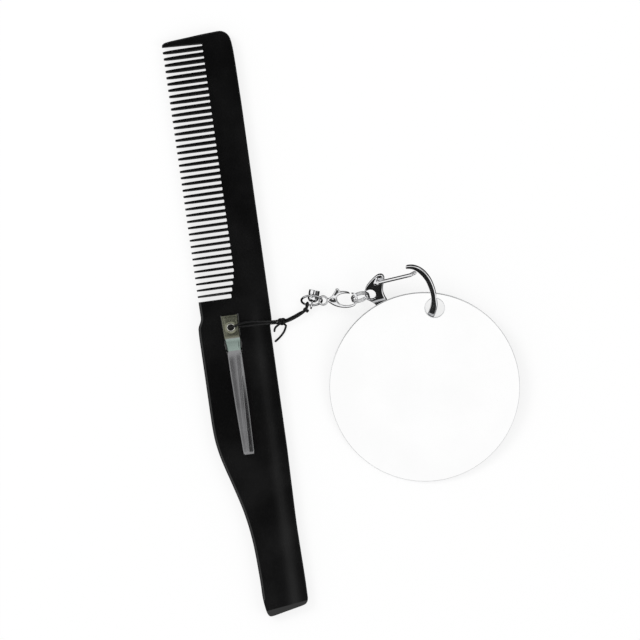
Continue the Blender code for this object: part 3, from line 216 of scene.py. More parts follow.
class Bench:
    """Modelling steps on one piece at a time, with everything else left unselected."""

    # points this close are merged, in millimetres
    merge = 0.002
    # a rim's share of the room on a short side, how fast it may widen, and the passes that even it
    rim_room = 0.8
    rim_spread = 0.6
    rim_passes = 40
    # the least cosine by which a mitred corner of a plate or a fold of a pressing is stretched
    plate_mitre = 0.7
    fold_mitre = 0.75
    # the thinnest that a domed plate gets, and the angle in degrees past which edges are rounded
    dome_least = 0.45
    edge_angle = 50.0
    # the rows of a blunted wire end: how far each is drawn in and pushed out, in shares
    end_rows = ((0.35, 0.6), (0.8, 1.0))

    @staticmethod
    def rest() -> None:
        """Leave edit mode and select nothing."""
        if bpy.context.object and bpy.context.object.mode != "OBJECT":
            bpy.ops.object.mode_set(mode="OBJECT")
        bpy.ops.object.select_all(action="DESELECT")

    @classmethod
    def take(cls, piece: bpy.types.Object) -> None:
        """Make a piece the only selected one and the active one."""
        cls.rest()
        piece.select_set(True)
        bpy.context.view_layer.objects.active = piece

    @classmethod
    @contextmanager
    def editing(cls, piece: bpy.types.Object) -> Iterator[None]:
        """Keep a piece in edit mode, nothing selected at first.

        Args:
            piece: the piece to edit.
        """
        cls.take(piece)
        bpy.ops.object.mode_set(mode="EDIT")
        bpy.ops.mesh.select_all(action="DESELECT")
        yield
        bpy.ops.object.mode_set(mode="OBJECT")

    @staticmethod
    def named(name: str) -> bpy.types.Object:
        """Name the piece that was just added.

        Args:
            name: its name.

        Returns:
            The piece.
        """
        piece = bpy.context.object
        piece.name = name
        piece.data.name = name
        return piece

    @classmethod
    def close(cls, piece: bpy.types.Object, fill: bool = False) -> None:
        """Merge a piece's doubled points and turn all its faces outwards.

        Args:
            piece: the piece.
            fill: whether its open ends are closed too.
        """
        with cls.editing(piece):
            bpy.ops.mesh.select_all(action="SELECT")
            bpy.ops.mesh.remove_doubles(threshold=cls.merge)
            if fill:
                bpy.ops.mesh.fill_holes(sides=0)
            bpy.ops.mesh.select_all(action="SELECT")
            bpy.ops.mesh.normals_make_consistent(inside=False)

    @classmethod
    def modify(cls, piece: bpy.types.Object, kind: str, **values: object) -> None:
        """Give a piece a modifier and apply it.

        Args:
            piece: the piece.
            kind: the modifier's type.
            values: the modifier's values, by name.
        """
        step = piece.modifiers.new(kind.title(), kind)
        for key, value in values.items():
            setattr(step, key, value)
        cls.take(piece)
        bpy.ops.object.modifier_apply(modifier=step.name)

    @classmethod
    def carve(cls, piece: bpy.types.Object, tool: bpy.types.Object, how: str = "DIFFERENCE") -> None:
        """Cut a tool from a piece, or join it on, and put the tool away."""
        cls.modify(piece, "BOOLEAN", operation=how, object=tool, solver="EXACT")
        bpy.data.objects.remove(tool, do_unlink=True)

    @classmethod
    def join(cls, name: str, pieces: Sequence[bpy.types.Object]) -> bpy.types.Object:
        """Join several pieces of one finish to one.

        Args:
            name: the whole piece's name.
            pieces: the pieces to join.

        Returns:
            The whole piece.
        """
        cls.take(pieces[0])
        for piece in pieces[1:]:
            piece.select_set(True)
        bpy.ops.object.join()
        return cls.named(name)

    @classmethod
    def rim_widths(cls, sides: Sequence[Vector], turns: Sequence[float],
                   wanted: Sequence[float]) -> list[float]:
        """Return how wide a plate's rim can be at each corner of its outline.

        Args:
            sides: the outline's sides.
            turns: how far it turns at the corner where each side starts, outward bends positive.
            wanted: the wanted width there.

        Returns:
            The widths, narrower where the outline bends too tightly.
        """
        count = len(sides)
        bends = [math.tan(max(0.5 * turn, 0.0)) for turn in turns]
        room = [cls.rim_room * side.length / max(bends[i] + bends[(i + 1) % count], 1e-6)
                for i, side in enumerate(sides)]
        widths = [min(wanted[i], room[i], room[i - 1]) for i in range(count)]
        for _ in range(cls.rim_passes):
            for i in range(count):
                widths[i] = min(widths[i], widths[i - 1] + cls.rim_spread * sides[i - 1].length,
                                widths[(i + 1) % count] + cls.rim_spread * sides[i].length)
        return widths

    @classmethod
    def dome(cls, piece: bpy.types.Object, middle: Point, fall: Point, spacing: float) -> None:
        """Let both faces of a plate fall off from a middle.

        Args:
            piece: the plate.
            middle: where it stays as thick as it is.
            fall: the share of its thickness lost per square millimetre in X and in Y.
            spacing: how close the faces are divided for it.
        """
        with cls.editing(piece):
            for axis in (0, 1):
                reach = [vert.co[axis] for vert in piece.data.vertices]
                count = int((max(reach) - min(reach)) / spacing)
                for step in range(1, count + 1):
                    place, normal = [0.0, 0.0, 0.0], [0.0, 0.0, 0.0]
                    place[axis] = min(reach) + step * spacing
                    normal[axis] = 1.0
                    bpy.ops.mesh.select_all(action="SELECT")
                    bpy.ops.mesh.bisect(plane_co=place, plane_no=normal)
        for vert in piece.data.vertices:
            x, y = vert.co.x - middle[0], vert.co.y - middle[1]
            vert.co.z *= max(1.0 - fall[0] * x * x - fall[1] * y * y, cls.dome_least)

    @classmethod
    def plate(cls, name: str, outline: Sequence[Point], thickness: float,
              rim: Sequence[float] | float = 0.0, segments: int = 3, hold: float = 0.0) -> bpy.types.Object:
        """Cut a plate along an outline, even to both sides of its plane.

        Args:
            name: the piece's name.
            outline: the corners in the plate's plane.
            thickness: the plate's thickness.
            rim: how wide its rims are rounded, the same all round or given for each corner.
            segments: how many faces the rounding has.
            hold: the width of a row of level faces inside the rim, which keeps the shading flat.

        Returns:
            The plate.
        """
        points = [Vector(point) for point in outline]
        count = len(points)
        sides = [points[(i + 1) % count] - points[i] for i in range(count)]
        way = math.copysign(1.0, sum(points[i - 1].cross(points[i]) for i in range(count)))
        turns = [way * math.atan2(before.cross(side), before.dot(side))
                 for before, side in zip([sides[-1], *sides], sides)]
        wanted = [rim] * count if isinstance(rim, float) else rim
        widths = cls.rim_widths(sides, turns, wanted)
        inward = []
        for i in range(count):
            ahead = (sides[i - 1].normalized() + sides[i].normalized()).normalized()
            stretch = 1.0 / max(ahead.dot(sides[i].normalized()), cls.plate_mitre)
            inward.append(Vector((-ahead.y, ahead.x)) * way * stretch)
        rises = [0.5 * math.pi * step / segments for step in range(segments + 1)] if rim else [0.0]
        steps = [(rise, 0.0) for rise in rises] + ([(0.5 * math.pi, hold)] if hold else [])
        rows = []
        levels = [(-1.0, *step) for step in reversed(steps)] + [(1.0, *step) for step in steps]
        for level, rise, more in levels:
            across, down = 1.0 - math.cos(rise), 1.0 - math.sin(rise)
            rows.append([
                (*(points[i] + inward[i] * (widths[i] * across + more)),
                 level * (0.5 * thickness - widths[i] * down))
                for i in range(count)
            ])
        return cls.sheet(name, rows, closed=True)

    @classmethod
    def sheet(cls, name: str, rows: Sequence[Sequence[Place]], closed: bool = False) -> bpy.types.Object:
        """Shape a grid so that each of its rows follows one row of places.

        Args:
            name: the piece's name.
            rows: the places, one row a station, all rows as long.
            closed: whether a row comes back to its start, which makes a tube with filled ends.

        Returns:
            The shaped piece. Its UV runs across the rows in X and along them in Y.
        """
        rows = [[*row, row[0]] if closed else list(row) for row in rows]
        cls.rest()
        bpy.ops.mesh.primitive_grid_add(x_subdivisions=len(rows[0]) - 1, y_subdivisions=len(rows) - 1)
        piece = cls.named(name)
        order = sorted(piece.data.vertices, key=lambda v: (round(v.co.y, 5), round(v.co.x, 5)))
        flat = [place for row in rows for place in row]
        if len(order) != len(flat):
            raise ValueError(f"{name}: the grid has {len(order)} points and not {len(flat)}")
        for vert, place in zip(order, flat):
            vert.co = place
        if closed:
            cls.close(piece, fill=True)
        return piece

    @classmethod
    def pressing(cls, name: str, rows: Sequence[tuple[float, Sequence[Point]]], thickness: float,
                 edge: float) -> bpy.types.Object:
        """Press a bent strip of sheet metal.

        Args:
            name: the piece's name.
            rows: the stations: how far along each one is, and the sheet's middle line across.
            thickness: the sheet's thickness.
            edge: how wide its edges are rounded.

        Returns:
            The pressing.
        """
        rings = []
        for along, middle in rows:
            line = [Vector(point) for point in middle]
            outer, inner = [], []
            for index, point in enumerate(line):
                before = (point - line[index - 1]).normalized() if index else None
                after = (line[index + 1] - point).normalized() if index + 1 < len(line) else None
                ahead = ((before or after) + (after or before)).normalized()
                stretch = 1.0 / max(ahead.dot(before or after), cls.fold_mitre)
                away = Vector((-ahead.y, ahead.x)) * 0.5 * thickness * stretch
                outer.append(point + away)
                inner.append(point - away)
            rings.append([(place.x, along, place.y) for place in (*outer, *reversed(inner))])
        piece = cls.sheet(name, rings, closed=True)
        cls.modify(piece, "BEVEL", width=edge, segments=2, limit_method="ANGLE",
                   angle_limit=math.radians(cls.edge_angle))
        return piece

    @classmethod
    def turned(cls, name: str, profile: Sequence[Point], steps: int,
               closed: bool = False) -> bpy.types.Object:
        """Spin a profile once about Z.

        Args:
            name: the piece's name.
            profile: (radius, height) points, ending on the axis unless it closes on itself.
            steps: how many faces go round.
            closed: whether the profile closes on itself.

        Returns:
            The turned piece.
        """
        cls.rest()
        bpy.ops.mesh.primitive_circle_add(vertices=len(profile), fill_type="NOTHING")
        piece = cls.named(name)
        for vert, (radius, height) in zip(piece.data.vertices, profile):
            vert.co = (radius, 0.0, height)
        with cls.editing(piece):
            if not closed:
                bpy.context.tool_settings.mesh_select_mode = (False, True, False)
                bm = bmesh.from_edit_mesh(piece.data)
                last = len(profile) - 1
                for edge in bm.edges:
                    edge.select = {vert.index for vert in edge.verts} == {0, last}
                bmesh.update_edit_mesh(piece.data)
                bpy.ops.mesh.delete(type="EDGE")
            bpy.ops.mesh.select_all(action="SELECT")
            bpy.ops.mesh.spin(steps=steps, angle=math.tau, center=(0.0, 0.0, 0.0), axis=(0.0, 0.0, 1.0))
        cls.close(piece)
        return piece

    @classmethod
    def drill(cls, name: str, radius: float, reach: float, steps: int) -> bpy.types.Object:
        """Return a plain drill that reaches as far to both sides of the origin, along Z."""
        return cls.turned(name, mirrored([(radius, reach), (0.0, reach)]), steps)

    @classmethod
    def pin(cls, name: str, end: Sequence[Point], half: float, steps: int) -> bpy.types.Object:
        """Turn a pin with two like heads about Z.

        Args:
            name: the piece's name.
            end: one end's profile from the shank out, as radius and distance past the half length.
            half: half the length between the heads.
            steps: how many faces go round.

        Returns:
            The pin.
        """
        return cls.turned(name, mirrored([(radius, half + past) for radius, past in end]), steps)

    @classmethod
    def wire_end(cls, row: Sequence[Vector], away: Vector, blunt: float) -> list[list[Vector]]:
        """Return the rows that blunt a bar's end, the outermost last.

        Args:
            row: the bar's last full row.
            away: how far the end reaches past that row, and in which direction.
            blunt: how far the end is rounded, as a share of the radius.

        Returns:
            The rows.
        """
        middle = sum(row, Vector()) / len(row)
        return [[middle.lerp(corner, 1.0 - draw * blunt) + away * push for corner in row]
                for draw, push in cls.end_rows]

    @classmethod
    def wire(cls, name: str, line: Sequence[Vector], radius: float, sides: int = 12,
             cyclic: bool = False, blunt: float = 0.0) -> bpy.types.Object:
        """Sweep a round bar along a line.

        Args:
            name: the piece's name.
            line: the points it follows.
            radius: its radius.
            sides: how many faces go round it.
            cyclic: whether the line closes on itself.
            blunt: how far its ends are rounded, as a share of the radius.

        Returns:
            The bar. Its UV runs round it in X, and along it in Y by one unit per diameter.
        """
        count = len(line)
        heads = []
        for index in range(count):
            if cyclic:
                ahead = line[(index + 1) % count] - line[index - 1]
            else:
                ahead = line[min(index + 1, count - 1)] - line[max(index - 1, 0)]
            heads.append(ahead.normalized())
        side = heads[0].orthogonal().normalized()
        rows: list[list[Vector]] = []
        for place, head in zip(line, heads):
            side = (side - head * side.dot(head)).normalized()
            other = head.cross(side)
            rows.append([
                place + side * radius * math.cos(math.tau * i / sides)
                + other * radius * math.sin(math.tau * i / sides)
                for i in range(sides)
            ])
        if cyclic:
            rows = [[*row, row[0]] for row in [*rows, rows[0]]]
        elif blunt:
            start = cls.wire_end(rows[0], -heads[0] * blunt * radius, blunt)
            end = cls.wire_end(rows[-1], heads[-1] * blunt * radius, blunt)
            rows = [*reversed(start), *rows, *end]
        piece = cls.sheet(name, [[tuple(place) for place in row] for row in rows], closed=not cyclic)
        if cyclic:
            cls.close(piece)
        length = sum((b - a).length for a, b in zip(line, line[1:]))
        for corner in piece.data.uv_layers.active.data:
            corner.uv.y *= length / (2.0 * radius)
        return piece

    @classmethod
    def settle(cls, piece: bpy.types.Object, dress: bpy.types.Material, body: Body, slot: str,
               *nodes: str, frame: Matrix | None = None, smooth: float = 35.0) -> bpy.types.Object:
        """Stand a finished piece in its place in metres, dress it and tie it to its body.

        Args:
            piece: the piece, still in millimetres and at the origin.
            dress: its material.
            body: the body that it rides on.
            slot: the record's material slot; not used.
            nodes: the CAD nodes that it stands for.
            frame: where it stands in the part's frame, in millimetres.
            smooth: the angle in degrees under which faces shade as one.

        Returns:
            The piece.
        """
        piece.data.transform(Matrix.Scale(MM, 4) @ (frame or Matrix.Identity(4)))
        piece.data.update()
        cls.take(piece)
        bpy.ops.object.shade_smooth_by_angle(angle=math.radians(smooth))
        cls.rest()
        if not piece.data.materials:
            piece.data.materials.append(dress)
        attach(piece, body.value)
        if nodes:
            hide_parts(*nodes)
        LOG.info("%s: %d faces on %s", piece.name, len(piece.data.polygons), body.value)
        return piece


class Recipe:
    """A material, world or node group while its nodes are laid out."""

    def __init__(self, tree: bpy.types.NodeTree) -> None:
        """Start on an emptied tree."""
        self.tree = tree
        self.tree.nodes.clear()

    def node(self, kind: str, wires: dict[str | int, object] | None = None,
             **settings: object) -> bpy.types.Node:
        """Add a node.

        Args:
            kind: the node's type, without the prefix that all shader nodes share.
            wires: for each input, a value or the socket that feeds it.
            settings: the node's own properties.

        Returns:
            The node.
        """
        made = self.tree.nodes.new(kind if kind.startswith("Node") else f"ShaderNode{kind}")
        for key, value in settings.items():
            setattr(made, key, value)
        for key, value in (wires or {}).items():
            socket = made.inputs[key]
            if isinstance(value, bpy.types.NodeSocket):
                self.tree.links.new(value, socket)
            else:
                socket.default_value = value
        return made

    def math(self, operation: str, *values: object) -> bpy.types.NodeSocket:
        """Return the result of a math node on values or sockets."""
        return self.node("Math", dict(enumerate(values)), operation=operation).outputs[0]

    def group(self, tree: bpy.types.NodeTree, **values: float) -> bpy.types.Node:
        """Place a node group.

        Args:
            tree: the group.
            values: its inputs' values, by name.

        Returns:
            The group's node.
        """
        placed = self.node("Group", node_tree=tree)
        for key, value in values.items():
            placed.inputs[key.replace("_", " ").title()].default_value = value
        return placed

    def mix(self, share: object, first: object, second: object) -> bpy.types.NodeSocket:
        """Mix two colours.

        Args:
            share: how much of the second colour is taken.
            first: a colour or a socket.
            second: a colour or a socket.

        Returns:
            The mixed colour's socket.
        """
        made = self.node("Mix", data_type="RGBA")
        for index, value in ((0, share), (6, first), (7, second)):
            if isinstance(value, bpy.types.NodeSocket):
                self.tree.links.new(value, made.inputs[index])
            else:
                made.inputs[index].default_value = value if index == 0 else (*value, 1.0)
        return made.outputs[2]

    def ramp(self, value: object, low: float, high: float, start: float = 0.0,
             end: float = 1.0) -> bpy.types.NodeSocket:
        """Return a value mapped smoothly from one range to another."""
        return self.node("MapRange", {0: value, 1: low, 2: high, 3: start, 4: end},
                         interpolation_type="SMOOTHSTEP").outputs[0]


class Group:
    """Shader node groups, each built once, that the finishes place with their own values."""

    @staticmethod
    def start(name: str, inputs: dict[str, float], outputs: Sequence[str]) -> Recipe:
        """Begin a group with named number sockets.

        Args:
            name: the group's name.
            inputs: each input and its usual value.
            outputs: the outputs' names.

        Returns:
            The recipe to fill in.
        """
        tree = bpy.data.node_groups.new(name, "ShaderNodeTree")
        for key, value in inputs.items():
            socket = tree.interface.new_socket(key, in_out="INPUT", socket_type="NodeSocketFloat")
            socket.default_value = value
        for key in outputs:
            tree.interface.new_socket(key, in_out="OUTPUT", socket_type="NodeSocketFloat")
        return Recipe(tree)

    @classmethod
    @cache
    def handling(cls) -> bpy.types.NodeTree:
        """Marks of handling: faint smears and hairline scratches.

        Returns:
            The group.
        """
        r = cls.start("handling_marks", {"Smear Scale": 60.0, "Scratch Scale": 900.0, "Stretch": 12.0},
                      ("Smear", "Scratch"))
        given = r.node("NodeGroupInput").outputs
        places = r.node("TexCoord").outputs["Object"]
        smear = r.node("TexNoise", {"Vector": places, "Scale": given["Smear Scale"], "Detail": 4.0})
        split = r.node("SeparateXYZ", {0: places}).outputs
        thin = r.math("MULTIPLY", split["X"], given["Stretch"])
        lines = r.node("CombineXYZ", {0: thin, 1: split["Y"], 2: split["Z"]}).outputs[0]
        scratch = r.node("TexNoise", {"Vector": lines, "Scale": given["Scratch Scale"], "Detail": 3.0,
                                      "Roughness": 0.6})
        marks = r.ramp(scratch.outputs["Fac"], 0.56, 0.72)
        r.node("NodeGroupOutput", {"Smear": r.ramp(smear.outputs["Fac"], 0.35, 0.7), "Scratch": marks})
        return r.tree

    @classmethod
    @cache
    def grain(cls) -> bpy.types.NodeTree:
        """Fine grain of a moulded, cast or plated surface, and its slow waves.

        Returns:
            The group.
        """
        r = cls.start("surface_grain", {"Scale": 2500.0, "Unevenness": 300.0}, ("Grain", "Wave"))
        given = r.node("NodeGroupInput").outputs
        places = r.node("TexCoord").outputs["Object"]
        fine = r.node("TexNoise", {"Vector": places, "Scale": given["Scale"], "Detail": 2.0})
        wave = r.node("TexNoise", {"Vector": places, "Scale": given["Unevenness"], "Detail": 1.0})
        r.node("NodeGroupOutput", {"Grain": fine.outputs["Fac"], "Wave": wave.outputs["Fac"]})
        return r.tree

    @classmethod
    @cache
    def weave(cls) -> bpy.types.NodeTree:
        """Braid of a thin cord, laid along the cord's own UV.

        Returns:
            The group.
        """
        r = cls.start("cord_weave", {"Strands": 4.0, "Pitch": 1.4}, ("Height", "Valley Shade"))
        given = r.node("NodeGroupInput").outputs
        split = r.node("SeparateXYZ", {0: r.node("UVMap").outputs[0]}).outputs
        turn = r.math("MULTIPLY", split["X"], given["Strands"])
        step = r.math("MULTIPLY", split["Y"], given["Pitch"])
        waves = []
        for kind in ("ADD", "SUBTRACT"):
            angle = r.math("MULTIPLY", r.math(kind, turn, step), math.tau)
            waves.append(r.math("ABSOLUTE", r.math("SINE", angle)))
        height = r.math("MAXIMUM", *waves)
        # the second output masks the painted shade between the strands
        r.node("NodeGroupOutput", {"Height": height, "Valley Shade": r.ramp(height, 0.45, 0.85, 1.0, 0.0)})
        return r.tree


@dataclass(frozen=True)
class Finish:
    """A finish in one base colour with marks of handling.

    Attributes name the finish, give its colour, gloss and grain, how strongly the marks and the
    grain show, and the height in metres that 1 stands for in its relief.
    """

    name: str
    colour: Colour
    metallic: float = 0.0
    rough: float = 0.3
    smear: float = 0.04
    shade: float = 0.06
    scratch: float = 0.02
    stretch: float = 12.0
    scratch_scale: float = 900.0
    grain: float = 0.0
    grain_scale: float = 2500.0
    wave: float = 0.0
    wave_scale: float = 300.0
    specular: float = 0.5
    coat: float = 0.0
    relief_unit: float = 0.00001

    def build(self) -> bpy.types.Material:
        """Lay out the finish's nodes.

        Returns:
            The material.
        """
        material = bpy.data.materials.new(self.name)
        material.use_nodes = True
        material.diffuse_color = (*self.colour, 1.0)
        recipe = Recipe(material.node_tree)
        marks = recipe.group(Group.handling(), scratch_scale=self.scratch_scale, stretch=self.stretch)
        skin = recipe.group(Group.grain(), scale=self.grain_scale, unevenness=self.wave_scale)
        dulled = recipe.math("MULTIPLY", marks.outputs["Smear"], self.smear)
        scratched = recipe.math("MULTIPLY", marks.outputs["Scratch"], self.scratch)
        shader = recipe.node("BsdfPrincipled", {
            "Base Color": self.tone(recipe, marks.outputs["Smear"]),
            "Metallic": self.metallic,
            "Roughness": recipe.math("ADD", recipe.math("ADD", dulled, self.rough), scratched),
            "Specular IOR Level": self.specular,
            "Coat Weight": self.coat,
            "Coat Roughness": 0.08,
        })
        height = self.relief(recipe, marks, skin)
        bump = recipe.node("Bump", {"Height": height, "Strength": 1.0, "Distance": self.relief_unit})
        recipe.tree.links.new(bump.outputs[0], shader.inputs["Normal"])
        recipe.node("OutputMaterial", {"Surface": shader.outputs[0]})
        return material

    def tone(self, recipe: Recipe, smear: bpy.types.NodeSocket) -> bpy.types.NodeSocket:
        """Return the base colour, a little darker or lighter where the surface is smeared."""
        darker = tuple(channel * (1.0 - self.shade) for channel in self.colour)
        lighter = tuple(min(channel * (1.0 + self.shade) + 0.002, 1.0) for channel in self.colour)
        return recipe.mix(smear, darker, lighter)

    def relief(self, recipe: Recipe, marks: bpy.types.Node, skin: bpy.types.Node) -> bpy.types.NodeSocket:
        """Lay out the surface's relief: scratches, grain and unevenness.

        Args:
            recipe: the material's nodes.
            marks: the placed marks of handling.
            skin: the placed grain.

        Returns:
            The height, in the finish's relief unit.
        """
        fine = recipe.math("MULTIPLY", skin.outputs["Grain"], self.grain)
        wide = recipe.math("MULTIPLY", skin.outputs["Wave"], self.wave)
        cut = recipe.math("MULTIPLY", marks.outputs["Scratch"], -self.scratch)
        return recipe.math("ADD", recipe.math("ADD", fine, wide), cut)


@dataclass(frozen=True)
class CordFinish(Finish):
    """A braided cord, with painted shade making it dark in the valleys between its strands."""

    strands: float = 4.0
    pitch: float = 1.1
    # how dark the painted shade between the strands makes the colour, as a share of it
    valley_shade: float = 0.3
    height: float = 9.0

    def weave(self, recipe: Recipe) -> bpy.types.Node:
        """Place the braid's group with this cord's strands."""
        return recipe.group(Group.weave(), strands=self.strands, pitch=self.pitch)

    def tone(self, recipe: Recipe, smear: bpy.types.NodeSocket) -> bpy.types.NodeSocket:
        """Return the strands' colour, with painted shade making it nearly black between them."""
        valley_shade = tuple(channel * self.valley_shade for channel in self.colour)
        return recipe.mix(self.weave(recipe).outputs["Valley Shade"], self.colour, valley_shade)

    def relief(self, recipe: Recipe, marks: bpy.types.Node, skin: bpy.types.Node) -> bpy.types.NodeSocket:
        """Return the height of the strands."""
        strands = recipe.math("MULTIPLY", self.weave(recipe).outputs["Height"], self.height)
        return recipe.math("ADD", strands, recipe.math("MULTIPLY", skin.outputs["Grain"], self.grain))


@dataclass(frozen=True)
class BandedFinish(Finish):
    """A finish whose colour changes in bands along the part's Y, as on the clip's upper jaw, where the ramp's
    band is a painted reflection.

    Attributes give each band's two ends and its colour, how wide its ends fade, and how much
    darker it is where it isn't smeared.
    """

    bands: tuple[tuple[float, float, Colour], ...] = ()
    fade: float = 0.15
    bare: float = 0.9

    def tone(self, recipe: Recipe, smear: bpy.types.NodeSocket) -> bpy.types.NodeSocket:
        """Lay each band over the base colour.

        Args:
            recipe: the material's nodes.
            smear: how smeared the surface is.

        Returns:
            The colour's socket.
        """
        colour = super().tone(recipe, smear)
        along = recipe.node("SeparateXYZ", {0: recipe.node("TexCoord").outputs["Object"]}).outputs["Y"]
        soft = self.fade * MM
        for low, high, band in self.bands:
            start = recipe.ramp(along, low * MM - soft, low * MM + soft)
            end = recipe.ramp(along, high * MM - soft, high * MM + soft, 1.0, 0.0)
            darker = tuple(channel * self.bare for channel in band)
            colour = recipe.mix(recipe.math("MULTIPLY", start, end), colour, recipe.mix(smear, darker, band))
        return colour


class Finishes:
    """All the finishes of the part, built once."""

    def __init__(self) -> None:
        """Build every material."""
        self.plastic = Finish("comb_black_plastic", (0.0022, 0.0022, 0.0023), rough=0.1, smear=0.04,
                              shade=0.2, scratch=0.04, grain=0.02, wave=4.0, wave_scale=45.0,
                              stretch=6.0, specular=0.45).build()
        # steel darkened far below its bare colour to stand for the shade under the upper jaw: painted shade;
        # the hinge pin and the rivets wear it too
        self.tray = Finish("clip_tray_steel_painted_shade", (0.1, 0.1, 0.098), metallic=1.0, rough=0.28, smear=0.1,
                           scratch=0.1, grain=0.15, stretch=0.2).build()
        self.jaw = BandedFinish(
            "clip_jaw_steel", (0.235, 0.235, 0.24), metallic=1.0, rough=0.18, smear=0.08, scratch=0.2,
            shade=0.15, grain=0.1, stretch=14.0,
            # the tab's olive band, then the ramp's pale green-grey band, which is a painted reflection of the
            # surround in the bent ramp
            bands=((-4.0, 4.0, (0.175, 0.18, 0.135)), (-8.1, -4.2, (0.31, 0.385, 0.35))),
        ).build()
        self.flange = Finish("eyelet_flange", (0.2, 0.205, 0.15), metallic=1.0, rough=0.22, smear=0.08,
                             scratch=0.1, wave=0.4).build()
        self.eyelet = Finish("eyelet_plated_brass", (0.8, 0.8, 0.74), metallic=1.0, rough=0.14,
                             smear=0.08, scratch=0.1, wave=0.4).build()
        self.spring = Finish("spring_wire", (0.3, 0.3, 0.29), metallic=1.0, rough=0.3, smear=0.1,
                             scratch=0.1, grain=0.1).build()
        chrome = Finish("chrome_plating", (0.87, 0.87, 0.88), metallic=1.0, rough=0.05, smear=0.05,
                        scratch=0.08, wave=0.5, wave_scale=400.0, stretch=4.0)
        self.chrome = chrome.build()
        self.nickel = replace(chrome, name="black_nickel_plating", colour=(0.6, 0.6, 0.61),
                              rough=0.08).build()
        self.cord = CordFinish("cord_braid", (0.006, 0.006, 0.0065), rough=0.42, smear=0.1, grain=0.6,
                               grain_scale=9000.0, specular=0.45).build()
        self.glass = Finish("mirror_face", (0.98, 0.98, 0.98), metallic=1.0, rough=0.015, smear=0.02,
                            shade=0.01, scratch=0.01, wave=0.1, wave_scale=60.0).build()
        self.edge = Finish("mirror_edge", (0.72, 0.73, 0.74), metallic=0.2, rough=0.25, smear=0.1,
                           scratch=0.05, grain=0.1, coat=0.5).build()
        self.backing = Finish("mirror_back_paint", (0.13, 0.13, 0.135), rough=0.5, smear=0.12, shade=0.05,
                              scratch=0.1, grain=0.5, stretch=3.0).build()


